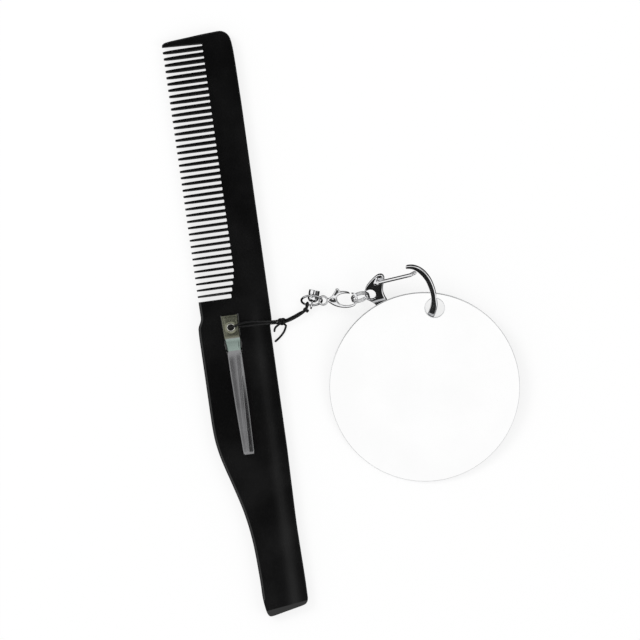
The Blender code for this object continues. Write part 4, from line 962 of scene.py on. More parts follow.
@dataclass
class CombPlate:
    """The comb: a plate with a soft-edged handle and forty sawn teeth.

    Its outline is given in shares of its length and its width, from the head's corner at the
    spine by the teeth's tips, the handle and the butt back along the spine.
    """

    length: float = 190.0
    width: float = 23.5
    thickness: float = 4.0
    # how wide the rim is rounded: on the handle, at the tips, along the spine and at the butt
    rim: float = 0.85
    tip_rim: float = 0.4
    spine_rim: float = 0.22
    spine_rim_reach: float = 4.0
    butt_rim: float = 0.14
    butt_rim_start: float = 184.5
    rim_faces: int = 5
    rim_hold: float = 0.08
    # how the outline's corners are softened
    corner_steps: int = 4
    corner_reach: float = 2.4
    # the teeth: how many, their spacing, where the first one lies, and their widths
    teeth: int = 40
    pitch: float = 2.044
    first: float = 4.67
    first_width: float = 1.25
    last_width: float = 0.82
    teeth_width: float = 22.65
    # the gaps' roots, which slope outwards before the shoulder, where the last gap ends, and the
    # edge of the head's guard beside the first gap, as distances from the head at root and tip
    root: float = 9.8
    last_root: float = 11.84
    slope_start: float = 78.0
    shoulder: float = 85.8
    last_gap_past: float = 0.3
    guard: Point = (3.42, 2.88)
    # how the teeth thin towards their tips, and the plate thickens again past the shoulder
    taper_start: float = 9.0
    tip_thickness: float = 1.9
    shoulder_rise: float = 1.6
    shoulder_lead: float = 0.1
    # the sunk strip along the handle's spine: its depth, where it rises across, and its start along
    ledge: float = 0.12
    ledge_span: Point = (1.8, 7.4)
    ledge_start: float = 84.0
    ledge_rise: float = 12.0
    # the rounding of a tooth's edges, at most this share of its width
    tooth_edge: float = 0.24
    tooth_edge_share: float = 0.36
    # a tooth's width along its length, and how far a saw runs out past the tips
    tooth_shares: tuple[Point, ...] = (
        (0.0, 1.02), (0.3, 1.02), (0.6, 0.98), (0.78, 0.9), (0.9, 0.78), (0.96, 0.66), (0.988, 0.52),
        (1.0, 0.36),
    )
    saw_past: float = 1.13
    saw_above: float = 0.5
    # a gap's round root: the angles that it is read at, its depth and its fullness
    root_angles: tuple[float, ...] = (22.0, 45.0, 68.0)
    root_depth: float = 0.55
    root_fullness: float = 0.6
    # where the plate is divided across and along, so that its faces can bend
    cuts_across: tuple[float, ...] = (1.8, 2.9, 4.0, 5.1, 6.2, 7.4, 9.0, 12.5, 16.0, 19.5)
    cuts_along: tuple[float, ...] = (
        20.0, 45.0, 70.0, 84.2, 85.0, 85.8, 86.6, 90.0, 93.0, 96.0, 104.0, 116.0, 128.0, 140.0, 152.0,
        164.0, 176.0, 184.0,
    )
    head_shares: tuple[Point, ...] = (
        (0.0185, 0.008), (0.0105, 0.026), (0.0045, 0.063), (0.0006, 0.119), (0.0, 0.17), (0.0016, 0.4),
        (0.0042, 0.65), (0.0062, 0.85), (0.0078, 0.925), (0.0105, 0.958), (0.0138, 0.963),
    )
    handle_shares: tuple[Point, ...] = (
        (0.46, 0.946), (0.4832, 0.9435), (0.4905, 0.972), (0.4968, 0.998), (0.5137, 1.003),
        (0.5805, 0.9985), (0.63, 0.9975), (0.6637, 0.996), (0.6916, 0.9835), (0.718, 0.946),
        (0.7416, 0.894), (0.765, 0.838), (0.788, 0.785), (0.81, 0.737), (0.8316, 0.701), (0.8526, 0.674),
        (0.875, 0.654), (0.8989, 0.642), (0.9411, 0.63), (0.964, 0.631), (0.978, 0.6205), (0.992, 0.6),
        (0.9985, 0.576), (1.0, 0.548), (0.999, 0.49), (0.9953, 0.355), (0.9885, 0.095), (0.9862, 0.044),
        (0.98, 0.013),
    )
    spine_shares: tuple[Point, ...] = (
        (0.945, 0.012), (0.9, 0.0195), (0.85, 0.0265), (0.777, 0.019), (0.72, 0.0115), (0.6, 0.013),
        (0.515, 0.0135), (0.5085, 0.013), (0.5005, -0.016), (0.495, -0.02), (0.465, -0.0197),
        (0.4, -0.0193), (0.25, -0.017), (0.13, -0.0165), (0.08, -0.0115), (0.055, -0.009),
        (0.032, -0.003),
    )
    # the line at which the butt's slope starts, and how much of the thickness it loses per millimetre
    butt_line: tuple[Place, Place] = ((-13.2, -187.9, 0.0), (-1.5, -186.4, 0.0))
    butt_drop: float = 0.2

    def half_thickness(self, x: float, along: float) -> float:
        """Work out how thick the plate is at a place.

        Args:
            x: the place from the spine, less than 0 on the plate.
            along: its distance from the head.

        Returns:
            Half the thickness there, as a share of its full half.
        """
        out = min(max((-x - self.taper_start) / (self.teeth_width - self.taper_start), 0.0), 1.0)
        toothed = ease((self.shoulder - along) / self.shoulder_rise + self.shoulder_lead)
        thin = 1.0 - (1.0 - self.tip_thickness / self.thickness) * out * toothed
        low, high = self.ledge_span
        step = ease((high + x) / (high - low)) * ease((along - self.ledge_start) / self.ledge_rise)
        past = (Vector((x, -along, 0.0)) - Vector(self.butt_line[0])).dot(self.butt_normal)
        return (thin - step * self.ledge / (0.5 * self.thickness)) * (1.0 - self.butt_drop * max(past, 0.0))

    @property
    def butt_normal(self) -> Vector:
        """Return the direction in which the slope at the handle's end falls."""
        start, end = (Vector(place) for place in self.butt_line)
        return (end - start).cross(UP).normalized()

    def rim_at(self, x: float, along: float) -> float:
        """Work out how wide the plate's rim is rounded at a corner of its outline.

        Args:
            x: the corner from the spine, less than 0 on the plate.
            along: its distance from the head.

        Returns:
            The width.
        """
        if along > self.butt_rim_start:
            return self.butt_rim
        if x > -self.spine_rim_reach:
            return self.spine_rim
        return self.rim if along > self.shoulder else self.tip_rim

    def blank(self) -> bpy.types.Object:
        """Make the plate, with its thickness but without its teeth.

        Returns:
            The plate.
        """
        shares = (*self.head_shares, *self.handle_shares, *self.spine_shares)
        outline = soften([(-across * self.width, -along * self.length) for along, across in shares],
                         self.corner_steps, most=self.corner_reach)
        rims = [self.rim_at(x, -y) for x, y in outline]
        piece = Bench.plate("comb_plate", outline, self.thickness, rims, self.rim_faces, hold=self.rim_hold)
        cuts = [((-x, 0.0, 0.0), (1.0, 0.0, 0.0)) for x in self.cuts_across]
        cuts += [((0.0, -y, 0.0), (0.0, 1.0, 0.0)) for y in self.cuts_along]
        cuts.append((self.butt_line[0], tuple(self.butt_normal)))
        with Bench.editing(piece):
            for place, normal in cuts:
                bpy.ops.mesh.select_all(action="SELECT")
                bpy.ops.mesh.bisect(plane_co=place, plane_no=normal)
        for vert in piece.data.vertices:
            vert.co.z *= self.half_thickness(vert.co.x, -vert.co.y)
        return piece

    def tooth_width(self, index: float) -> float:
        """Return a tooth's width at half its length."""
        share = min(max(index / (self.teeth - 1), 0.0), 1.0)
        return self.first_width + (self.last_width - self.first_width) * share

    def gap(self, index: int) -> list[tuple[float, float, float, float]]:
        """Return the stations of the gap above a tooth, from its root to past the tips.

        Args:
            index: the tooth's number from the head, one past the last for the gap at the shoulder.

        Returns:
            For each station its distance from the spine, its two sides and its edges' rounding.
        """
        middle = self.first + index * self.pitch
        slope = (middle - 0.5 * self.pitch - self.slope_start) / (self.shoulder - self.slope_start)
        root = self.root + (self.last_root - self.root) * min(max(slope, 0.0), 1.0)
        stations = []
        for share, widening in (*self.tooth_shares, (self.saw_past, self.tooth_shares[-1][1])):
            high = -(middle - self.pitch) - 0.5 * self.tooth_width(index - 1) * widening
            low = -middle + 0.5 * self.tooth_width(index) * widening
            if index == 0:
                high = -self.guard[0] + (self.guard[0] - self.guard[1]) * share
            if index == self.teeth:
                low = -self.shoulder - self.last_gap_past
            edge = min(self.tooth_edge, self.tooth_edge_share * (self.last_width * widening))
            stations.append((root + share * (self.teeth_width - root), high, low, edge))
        reach, high, low, edge = stations[0]
        half, axis = 0.5 * (high - low), 0.5 * (high + low)
        rounded = []
        for turn in map(math.radians, self.root_angles):
            width = half * math.sin(turn) ** self.root_fullness
            inner = reach - self.root_depth * half * math.cos(turn)
            rounded.append((inner, axis + width, axis - width, edge))
        return rounded + stations

    def saw(self, index: int) -> bpy.types.Object:
        """Make the saw of one gap, which rounds the edges of the teeth beside it.

        Args:
            index: the gap's number from the head.

        Returns:
            The saw.
        """
        rows = []
        for reach, high, low, edge in self.gap(index):
            half = 0.5 * self.thickness * self.half_thickness(-reach, -0.5 * (high + low))
            inset = ROUND_MIDDLE * edge
            side = [(edge, half + self.saw_above), (edge, half), (inset, half - inset), (0.0, half - edge)]
            side += [(out, -z) for out, z in reversed(side)]
            ring = [(-reach, high + out, z) for out, z in side]
            ring += [(-reach, low - out, z) for out, z in reversed(side)]
            rows.append(ring)
        return Bench.sheet(f"saw_{index}", rows, closed=True)

    def build(self, finishes: Finishes) -> None:
        """Saw the teeth from the plate and stand the comb in its place.

        Args:
            finishes: the finishes.
        """
        piece = self.blank()
        saws = Bench.join("saws", [self.saw(index) for index in range(self.teeth + 1)])
        Bench.carve(piece, saws)
        frame = Matrix.Translation(spot(0.0, 0.0, 0.5 * self.thickness))
        Bench.settle(piece, finishes.plastic, Body.COMB, "comb_plastic", "comb", frame=frame, smooth=20.0)


@dataclass
class SpringClip:
    """The clip on the handle: a fixed tray, a sprung jaw with an eyelet in its tab, and a pin."""

    # the clip's middle across the comb, the comb's face, and the sheet's thickness and edges
    x: float = 12.9
    top: float = 4.0
    sheet: float = 0.4
    sheet_edge: float = 0.07
    # the hinge's distance from the head and its height, its bore, and the pin's half length
    hinge: Point = (101.0, 6.3)
    bore: float = 0.62
    pin_half: float = 2.7
    # the eyelet: its distance from the head, its height over the comb, its hole in the tab, and
    # the radius within which it is brass
    eyelet_along: float = 95.57
    eyelet_height: float = 6.0
    eyelet_hole: float = 1.4
    eyelet_brass: float = 1.36
    # the rivets' distances from the head, and the height that the lower jaw is built up from
    rivets: Point = (109.5, 126.0)
    tray_base: float = 4.24
    # lower jaw: distance from the head, half width, height of its side flange, lift
    tray_rows: tuple[tuple[float, float, float, float], ...] = (
        (91.4, 2.72, 0.8, 0.55), (91.9, 2.72, 0.8, 0.0), (98.4, 2.46, 0.8, 0.0), (99.6, 2.46, 3.2, 0.0),
        (102.4, 2.46, 3.2, 0.0), (103.2, 2.46, 0.8, 0.0), (105.6, 1.45, 0.3, 0.0),
        (120.0, 1.225, 0.3, 0.0), (136.4, 1.0, 0.3, 0.0),
    )
    # upper jaw: distance from the head, height over the comb, half width, side depth, crown
    jaw_rows: tuple[tuple[float, float, float, float, float], ...] = (
        (91.7, 6.0, 2.5, 0.45, 0.04), (98.9, 6.0, 2.33, 0.45, 0.04), (99.25, 5.88, 2.3, 0.45, 0.04),
        (102.1, 4.3, 2.04, 0.45, 0.04), (102.95, 3.83, 2.0, 0.5, 0.04), (103.2, 3.7, 2.0, 0.9, 0.1),
        (103.5, 3.6, 2.02, 1.1, 0.3), (104.1, 3.5, 2.12, 1.1, 0.45), (111.0, 3.2, 2.12, 1.1, 0.48),
        (122.0, 2.65, 1.98, 1.1, 0.55), (135.95, 1.76, 1.62, 0.7, 0.5), (136.6, 1.7, 1.58, 0.7, 0.46),
        (136.98, 1.52, 1.5, 0.6, 0.42),
    )
    # the ears that the pin goes through: how far out they stand, and their shape along and up
    ear_out: float = 1.6
    ear_shape: tuple[Point, ...] = (
        (99.6, 6.2), (100.3, 5.4), (101.6, 5.4), (102.4, 6.1), (102.5, 7.75), (99.5, 9.3),
    )
    # the prong's ridge: its span along, its place in shares of the half width at both ends, the
    # groove beside it, how much its left side falls, and how far the prong's tip is shifted
    ridge_span: Point = (105.0, 136.0)
    ridge: Point = (0.8, 0.12)
    ridge_lead: float = 1.5
    groove: float = 0.05
    groove_left: float = 0.5
    left_fall: float = 0.12
    prong_shift: float = 0.18
    # the two sunk panels of tab and ramp: their depth, their spans along and their edges
    panel: float = 0.05
    panel_spans: tuple[Point, ...] = ((92.3, 98.1), (99.5, 102.7))
    panel_edge: float = 0.3
    panel_half: float = 0.86
    # where a station across the jaw is read: fixed shares, and shares counted from the ridge
    shares_left: tuple[float, ...] = (-0.88, -0.8, -0.45)
    shares_ridge: tuple[float, ...] = (-0.62, -0.5, -0.38, -0.1, 0.0, 0.06)
    share_right: float = 0.93
    # how closely the stations of jaw and tray follow each other
    jaw_spacing: float = 0.9
    tray_spacing: float = 1.2
    # the profiles, as radius and height, of the eyelet and of the rivets
    eyelet_profile: tuple[Point, ...] = (
        (1.0, -0.62), (1.08, -0.74), (1.42, -0.74), (1.5, -0.6), (1.5, -0.25), (1.25, -0.22),
        (1.25, 0.2), (1.95, 0.2), (1.98, 0.24), (1.92, 0.29), (1.45, 0.31), (1.34, 0.36), (1.3, 0.46),
        (1.24, 0.54), (1.14, 0.56), (1.05, 0.5), (1.0, 0.36),
    )
    rivet_profile: tuple[Point, ...] = (
        (0.0, 1.8), (0.6, 1.8), (0.6, 4.45), (1.15, 4.46), (1.25, 4.6), (1.1, 4.85), (0.75, 5.08),
        (0.35, 5.2), (0.0, 5.24),
    )
    # half the pin's profile, from its middle out: radius and distance past the pin's half length
    pin_profile: tuple[Point, ...] = ((0.5, -0.03), (0.7, 0.0), (0.62, 0.14), (0.4, 0.22), (0.0, 0.24))
    # the spring: its radius, pitch, turns and wire, and the points of a turn
    spring_radius: float = 1.08
    spring_pitch: float = 0.68
    spring_turns: int = 3
    spring_wire: float = 0.21
    spring_leg: float = 2.4
    spring_hook: float = 0.9
    spring_steps: int = 28

    @property
    def hinge_place(self) -> Vector:
        """Where the hinge's axis crosses the clip's middle."""
        return spot(-self.x, *self.hinge)

    @staticmethod
    def between(rows: Sequence[Sequence[float]], spacing: float) -> list[tuple[float, ...]]:
        """Put evenly blended stations between the given ones.

        Args:
            rows: the given stations, each starting with its distance from the head.
            spacing: how closely the stations follow each other.

        Returns:
            The stations, both ends among them.
        """
        made: list[tuple[float, ...]] = []
        for start, end in zip(rows, rows[1:]):
            count = max(1, round((end[0] - start[0]) / spacing))
            for step in range(count):
                t = step / count
                made.append(tuple(a + (b - a) * t for a, b in zip(start, end)))
        made.append(tuple(rows[-1]))
        return made

    @property
    def eyelet_place(self) -> Vector:
        """The middle of the tab's hole."""
        return spot(-self.x, self.eyelet_along, self.top + self.eyelet_height)

    def jaw_row(self, along: float, height: float, half: float, depth: float, crown: float) -> list[Point]:
        """Return one station across the upper jaw, from one flange over the top to the other.

        The prong has a ridge that runs from its right shoulder to the middle of its tip, with
        a fine groove on its left; right of the ridge its face falls off.

        Args:
            along: how far from the head the station lies.
            height: how high the sheet's middle lies over the comb.
            half: half the jaw's width there.
            depth: how far down the flanges reach.
            crown: how far the face right of the ridge falls.

        Returns:
            The sheet's middle line across the jaw.
        """
        start, end = self.ridge_span
        share = min(max((along - start) / (end - start), 0.0), 1.0)
        ridge = self.ridge[0] + (self.ridge[1] - self.ridge[0]) * share
        pressed = ease((along - start + self.ridge_lead) / self.ridge_lead)
        soft = self.panel_edge
        panel = sum(self.panel * ease((along - low) / soft) * ease((high - along) / soft)
                    for low, high in self.panel_spans)
        across = [*self.shares_left, *(ridge + past for past in self.shares_ridge)]
        across += [0.5 * (across[-1] + 0.92), self.share_right]
        tops = []
        for place in sorted(across):
            z = -panel * ease((self.panel_half - abs(place)) / 0.06)
            if place > ridge:
                z -= crown * pressed * (place - ridge) / (1.0 - ridge)
            else:
                z -= self.left_fall * crown * pressed * (ridge - place)
            if abs(place - (ridge - self.groove_left)) < 0.02:
                z -= self.groove * pressed
            tops.append((place * half, z))
        shift = self.prong_shift * pressed * share
        left, right = tops[0][1], tops[-1][1]
        bend = min(0.2, 0.6 * depth)
        low = -0.5 * (depth + bend)
        line = [(-half, -depth), (-half, low), (-half, left - bend), (-half + 0.06, left - 0.06)]
        line += tops
        line += [(half - 0.04, right - 0.07), (half, right - bend), (half, min(low, right - bend - 0.1)),
                 (half, min(-depth, right - bend - 0.2))]
        middle = -self.x + shift - FRAME_X
        return [(middle + x, self.top + height + z) for x, z in line]

    def jaw(self, finishes: Finishes) -> None:
        """Press the upper jaw, with its tab, ramp, ears and ridged prong.

        Args:
            finishes: the finishes.
        """
        stations = self.between(self.jaw_rows, self.jaw_spacing)
        rows = [(FRAME_Y - row[0], self.jaw_row(*row)) for row in stations]
        piece = Bench.pressing("clip_jaw_pressing", rows, self.sheet, self.sheet_edge)
        ears = []
        for side in (-1.0, 1.0):
            ear = Bench.plate("jaw_ear", soften(self.ear_shape, 3, reach=0.35), self.sheet, 0.06, 2)
            level = Matrix(((0.0, 0.0, -1.0), (-1.0, 0.0, 0.0), (0.0, 1.0, 0.0))).to_4x4()
            ear.data.transform(Matrix.Translation(spot(-self.x + side * self.ear_out, 0.0, 0.0)) @ level)
            Bench.carve(ear, self.pin_hole())
            ears.append(ear)
        hole = Bench.drill("tab_hole", self.eyelet_hole, 3.0, 40)
        hole.data.transform(Matrix.Translation(self.eyelet_place))
        Bench.carve(piece, hole)
        piece = Bench.join("clip_jaw_pressing", [piece, *ears])
        Bench.settle(piece, finishes.jaw, Body.JAW, "clip_steel", "clip_upper_jaw")

    def pin_hole(self) -> bpy.types.Object:
        """Return the drill of the hinge pin's bores."""
        drill = Bench.drill("pin_drill", self.bore, 4.0, 28)
        drill.data.transform(rod_frame(self.hinge_place, Vector((1.0, 0.0, 0.0))))
        return drill

    def tray_row(self, half: float, flange: float, lift: float) -> list[Point]:
        """Draw one station across the lower jaw.

        Args:
            half: its half width.
            flange: how high its sides stand.
            lift: how high its middle lies.

        Returns:
            The points, from one side to the other.
        """
        bend = min(0.24, 0.5 * (flange - lift) if flange > lift else 0.1)
        side = [(half, max(flange, lift + 0.25)), (half, lift + bend), (half - 0.3 * bend, lift + 0.3 * bend),
                (half - bend, lift), (0.5 * half, lift)]
        line = [(-x, z) for x, z in side] + [(0.0, lift)] + list(reversed(side))
        middle = -self.x - FRAME_X
        return [(middle + x, self.tray_base + z) for x, z in line]

    def tray(self, finishes: Finishes) -> None:
        """Press the lower jaw that is riveted on the comb.

        Args:
            finishes: the finishes.
        """
        stations = self.between(self.tray_rows, self.tray_spacing)
        rows = [(FRAME_Y - along, self.tray_row(*row)) for along, *row in stations]
        piece = Bench.pressing("clip_tray_pressing", rows, self.sheet, self.sheet_edge)
        Bench.carve(piece, self.pin_hole())
        Bench.settle(piece, finishes.tray, Body.COMB, "clip_steel", "clip_lower_jaw")

    def small_parts(self, finishes: Finishes) -> None:
        """Turn the eyelet, the hinge pin and the rivets, and wind the spring.

        Args:
            finishes: the finishes.
        """
        rim = Bench.turned("tab_eyelet_ring", self.eyelet_profile, 56, closed=True)
        for dress in (finishes.flange, finishes.eyelet):
            rim.data.materials.append(dress)
        for face in rim.data.polygons:
            face.material_index = int(Vector(face.center[:2]).length < self.eyelet_brass)
        Bench.settle(rim, finishes.eyelet, Body.JAW, "eyelet_metal", "tab_eyelet",
                     frame=Matrix.Translation(self.eyelet_place), smooth=50.0)
        pin = Bench.pin("clip_hinge_rivet", self.pin_profile, self.pin_half, 28)
        Bench.settle(pin, finishes.tray, Body.COMB, "clip_steel", "clip_hinge_pin",
                     frame=rod_frame(self.hinge_place, Vector((1.0, 0.0, 0.0))))
        for side, along in zip(("front", "rear"), self.rivets):
            head = Bench.turned(f"clip_{side}_rivet", self.rivet_profile, 32)
            Bench.settle(head, finishes.tray, Body.COMB, "clip_steel", f"clip_rivet_{side}",
                         frame=Matrix.Translation(spot(-self.x, along, 0.0)))
        coil = Bench.wire("clip_torsion_spring", self.spring_line(), self.spring_wire, 10, blunt=0.5)
        Bench.settle(coil, finishes.spring, Body.COMB, "spring_steel", "clip_spring",
                     frame=Matrix.Translation(self.hinge_place))

    def spring_line(self) -> list[Vector]:
        """Wind the torsion spring: a leg, three and a half turns and a short hook.

        Returns:
            The spring's line.
        """
        radius, width = self.spring_radius, self.spring_turns * self.spring_pitch
        line = [Vector((-0.5 * width, share * self.spring_leg, -radius))
                for share in (1.0, 0.8, 0.6, 0.4, 0.2)]
        total = self.spring_turns * self.spring_steps + self.spring_steps // 2
        for step in range(total + 1):
            turn = -0.5 * math.pi - math.tau * step / self.spring_steps
            line.append(Vector((-0.5 * width + width * step / total, radius * math.cos(turn),
                                radius * math.sin(turn))))
        line.append(line[-1] + Vector((0.0, self.spring_hook, 0.0)))
        return line

    def build(self, finishes: Finishes) -> None:
        """Make the whole clip."""
        self.tray(finishes)
        self.jaw(finishes)
        self.small_parts(finishes)


@dataclass
class KnottedCord:
    """The cord: one loop through the tab's eyelet, one round the link ring, and a knot between.

    Its places give X from the comb's spine, Y as minus the distance from the head, and Z up.
    """

    diameter: float = 0.7
    sides: int = 12
    spacing: float = 0.45
    blunt: float = 0.7
    # the stretch over the comb and through the eyelet, from its cut end to the knot and back
    run_over: tuple[Place, ...] = (
        (0.8, -98.7, 1.75), (0.95, -98.1, 2.0), (1.35, -97.5, 2.2), (1.9, -97.1, 2.3),
        (2.9, -96.5, 2.35), (3.6, -95.9, 2.3), (3.0, -95.4, 2.35), (1.75, -95.5, 2.7),
        (0.6, -95.42, 4.15), (-1.2, -95.25, 4.85), (-3.6, -94.95, 4.85), (-6.2, -94.65, 5.9),
        (-8.2, -94.6, 8.1), (-9.7, -94.8, 10.3), (-11.2, -95.25, 11.55), (-12.45, -95.45, 11.3),
        (-12.95, -95.45, 10.3), (-12.95, -95.45, 8.8), (-12.7, -95.5, 7.2), (-11.8, -95.6, 6.2),
        (-10.1, -95.7, 6.05), (-8.2, -95.75, 5.95), (-6.0, -95.8, 5.2), (-3.6, -95.87, 4.85),
        (-1.2, -96.0, 4.85), (0.6, -96.12, 4.15), (1.75, -96.2, 2.7), (2.7, -96.3, 2.1),
        (3.6, -96.0, 1.8),
    )
    # the stretch round the link ring, from the knot and back to its cut end
    run_ring: tuple[Place, ...] = (
        (2.9, -96.1, 1.5), (4.3, -96.3, 1.7), (5.7, -96.05, 1.75), (6.9, -95.72, 1.85),
        (8.4, -95.18, 1.95), (9.8, -94.55, 2.0), (10.9, -93.95, 2.0), (11.75, -93.35, 2.0),
        (12.22, -92.75, 2.05), (12.46, -92.23, 2.23), (12.68, -91.75, 2.44), (12.78, -91.23, 2.23),
        (12.69, -90.97, 1.73), (12.48, -91.13, 1.23), (12.26, -91.61, 1.02), (12.16, -92.13, 1.1),
        (12.0, -92.75, 1.15), (11.65, -93.3, 1.05), (10.85, -93.6, 0.9), (9.6, -93.98, 0.6),
        (8.2, -94.55, 0.5), (6.8, -95.05, 0.55), (5.55, -95.45, 0.75), (4.4, -95.8, 1.0),
        (3.7, -96.2, 1.0), (4.3, -96.9, 0.85), (4.75, -97.35, 0.6), (4.5, -98.1, 0.45),
        (3.9, -99.2, 0.4), (3.0, -100.2, 0.4), (1.9, -101.15, 0.4), (0.65, -102.0, 0.4),
    )
    # where each stretch leaves the comb's body and where the other body has it whole
    bend_over: tuple[Place, Place] = ((-4.5, -95.0, 5.0), (-11.0, -95.0, 5.0))
    bend_ring: tuple[Place, Place] = ((7.0, -95.2, 1.5), (12.4, -92.0, 1.5))
    # the hitch: its middle, its axis, its length, its turns, its half width and half height
    hitch: Place = (11.9, -93.3, 1.5)
    hitch_turn: float = 38.0
    hitch_length: float = 0.62
    hitch_turns: float = 1.6
    hitch_steps: int = 52
    hitch_half: Point = (0.62, 0.85)
    # the knot: its middle, its size, its points, how deep its three lobes are, and its turn
    knot_centre: Place = (3.6, -95.85, 1.85)
    knot_size: Place = (3.0, 2.6, 2.7)
    knot_steps: int = 120
    knot_lobes: Point = (0.66, 0.34)
    knot_turn: float = 0.5
    knot_height: float = 0.95

    @staticmethod
    def at(place: Place) -> Vector:
        """Turn a place on a route to a point of the part."""
        x, y, z = place
        return spot(x, -y, z)

    def bar(self, name: str, line: Sequence[Vector], finishes: Finishes) -> bpy.types.Object:
        """Lay a piece of cord along a line.

        Args:
            name: the piece's name.
            line: the line.
            finishes: the finishes.

        Returns:
            The piece, in metres, smooth and dressed.
        """
        piece = Bench.wire(name, line, 0.5 * self.diameter, self.sides, blunt=self.blunt)
        piece.data.transform(Matrix.Scale(MM, 4))
        piece.data.materials.append(finishes.cord)
        piece.data.shade_smooth()
        return piece

    def strand(self, name: str, route: Sequence[Place], finishes: Finishes,
               *nodes: str) -> bpy.types.Object:
        """Lay one stretch of cord.

        Args:
            name: the piece's name.
            route: the places that it follows.
            finishes: the finishes.
            nodes: the CAD nodes that it stands for.

        Returns:
            The stretch of cord.
        """
        line = smooth_line([self.at(place) for place in route], self.spacing)
        piece = self.bar(name, line, finishes)
        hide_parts(*nodes)
        return piece

    def hitch_round(self, strand: bpy.types.Object, finishes: Finishes) -> None:
        """Wind the hitch round both strands in front of the ring and join it to them.

        Args:
            strand: the stretch of cord round the ring.
            finishes: the finishes.
        """
        ahead = heading(self.hitch_turn)
        side = UP.cross(ahead)
        centre, length, steps = self.at(self.hitch), self.hitch_length, self.hitch_steps
        wide, high = self.hitch_half
        line = []
        for step in range(steps + 1):
            angle = math.tau * self.hitch_turns * step / steps
            line.append(centre + ahead * (length * step / steps - 0.5 * length)
                        + side * wide * math.cos(angle) + UP * (high * math.sin(angle)))
        coil = self.bar("cord_hitch", line, finishes)
        Bench.take(strand)
        coil.select_set(True)
        bpy.ops.object.join()
        Bench.rest()

    def knot(self, finishes: Finishes) -> None:
        """Tie the knot: a strand that winds over and under itself.

        Args:
            finishes: the finishes.
        """
        centre = self.at(self.knot_centre)
        wide, long, high = (0.5 * size - 0.5 * self.diameter for size in self.knot_size)
        middle, lobe = self.knot_lobes
        line = []
        for step in range(self.knot_steps):
            turn = math.tau * step / self.knot_steps
            out = middle + lobe * math.cos(3.0 * turn)
            round_turn = 2.0 * turn + self.knot_turn
            line.append(centre + Vector((
                wide * out * math.cos(round_turn), long * out * math.sin(round_turn),
                high * self.knot_height * math.sin(3.0 * turn),
            )))
        piece = Bench.wire("cord_overhand_knot", line, 0.5 * self.diameter, self.sides, cyclic=True)
        Bench.settle(piece, finishes.cord, Body.COMB, "cord_fabric", "cord_knot", smooth=80.0)

    def build(self, finishes: Finishes) -> None:
        """Lay both stretches of the cord and tie its knot.

        Args:
            finishes: the finishes.
        """
        clip = self.strand("cord_to_clip", self.run_over, finishes, "cord_clip_loop", "cord_short_tail")
        ring = self.strand("cord_to_ring", self.run_ring, finishes, "cord_ring_loop", "cord_long_tail")
        self.hitch_round(ring, finishes)
        for piece, body, bend in ((clip, Body.JAW, self.bend_over), (ring, Body.LINK, self.bend_ring)):
            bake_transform(piece)
        self.knot(finishes)


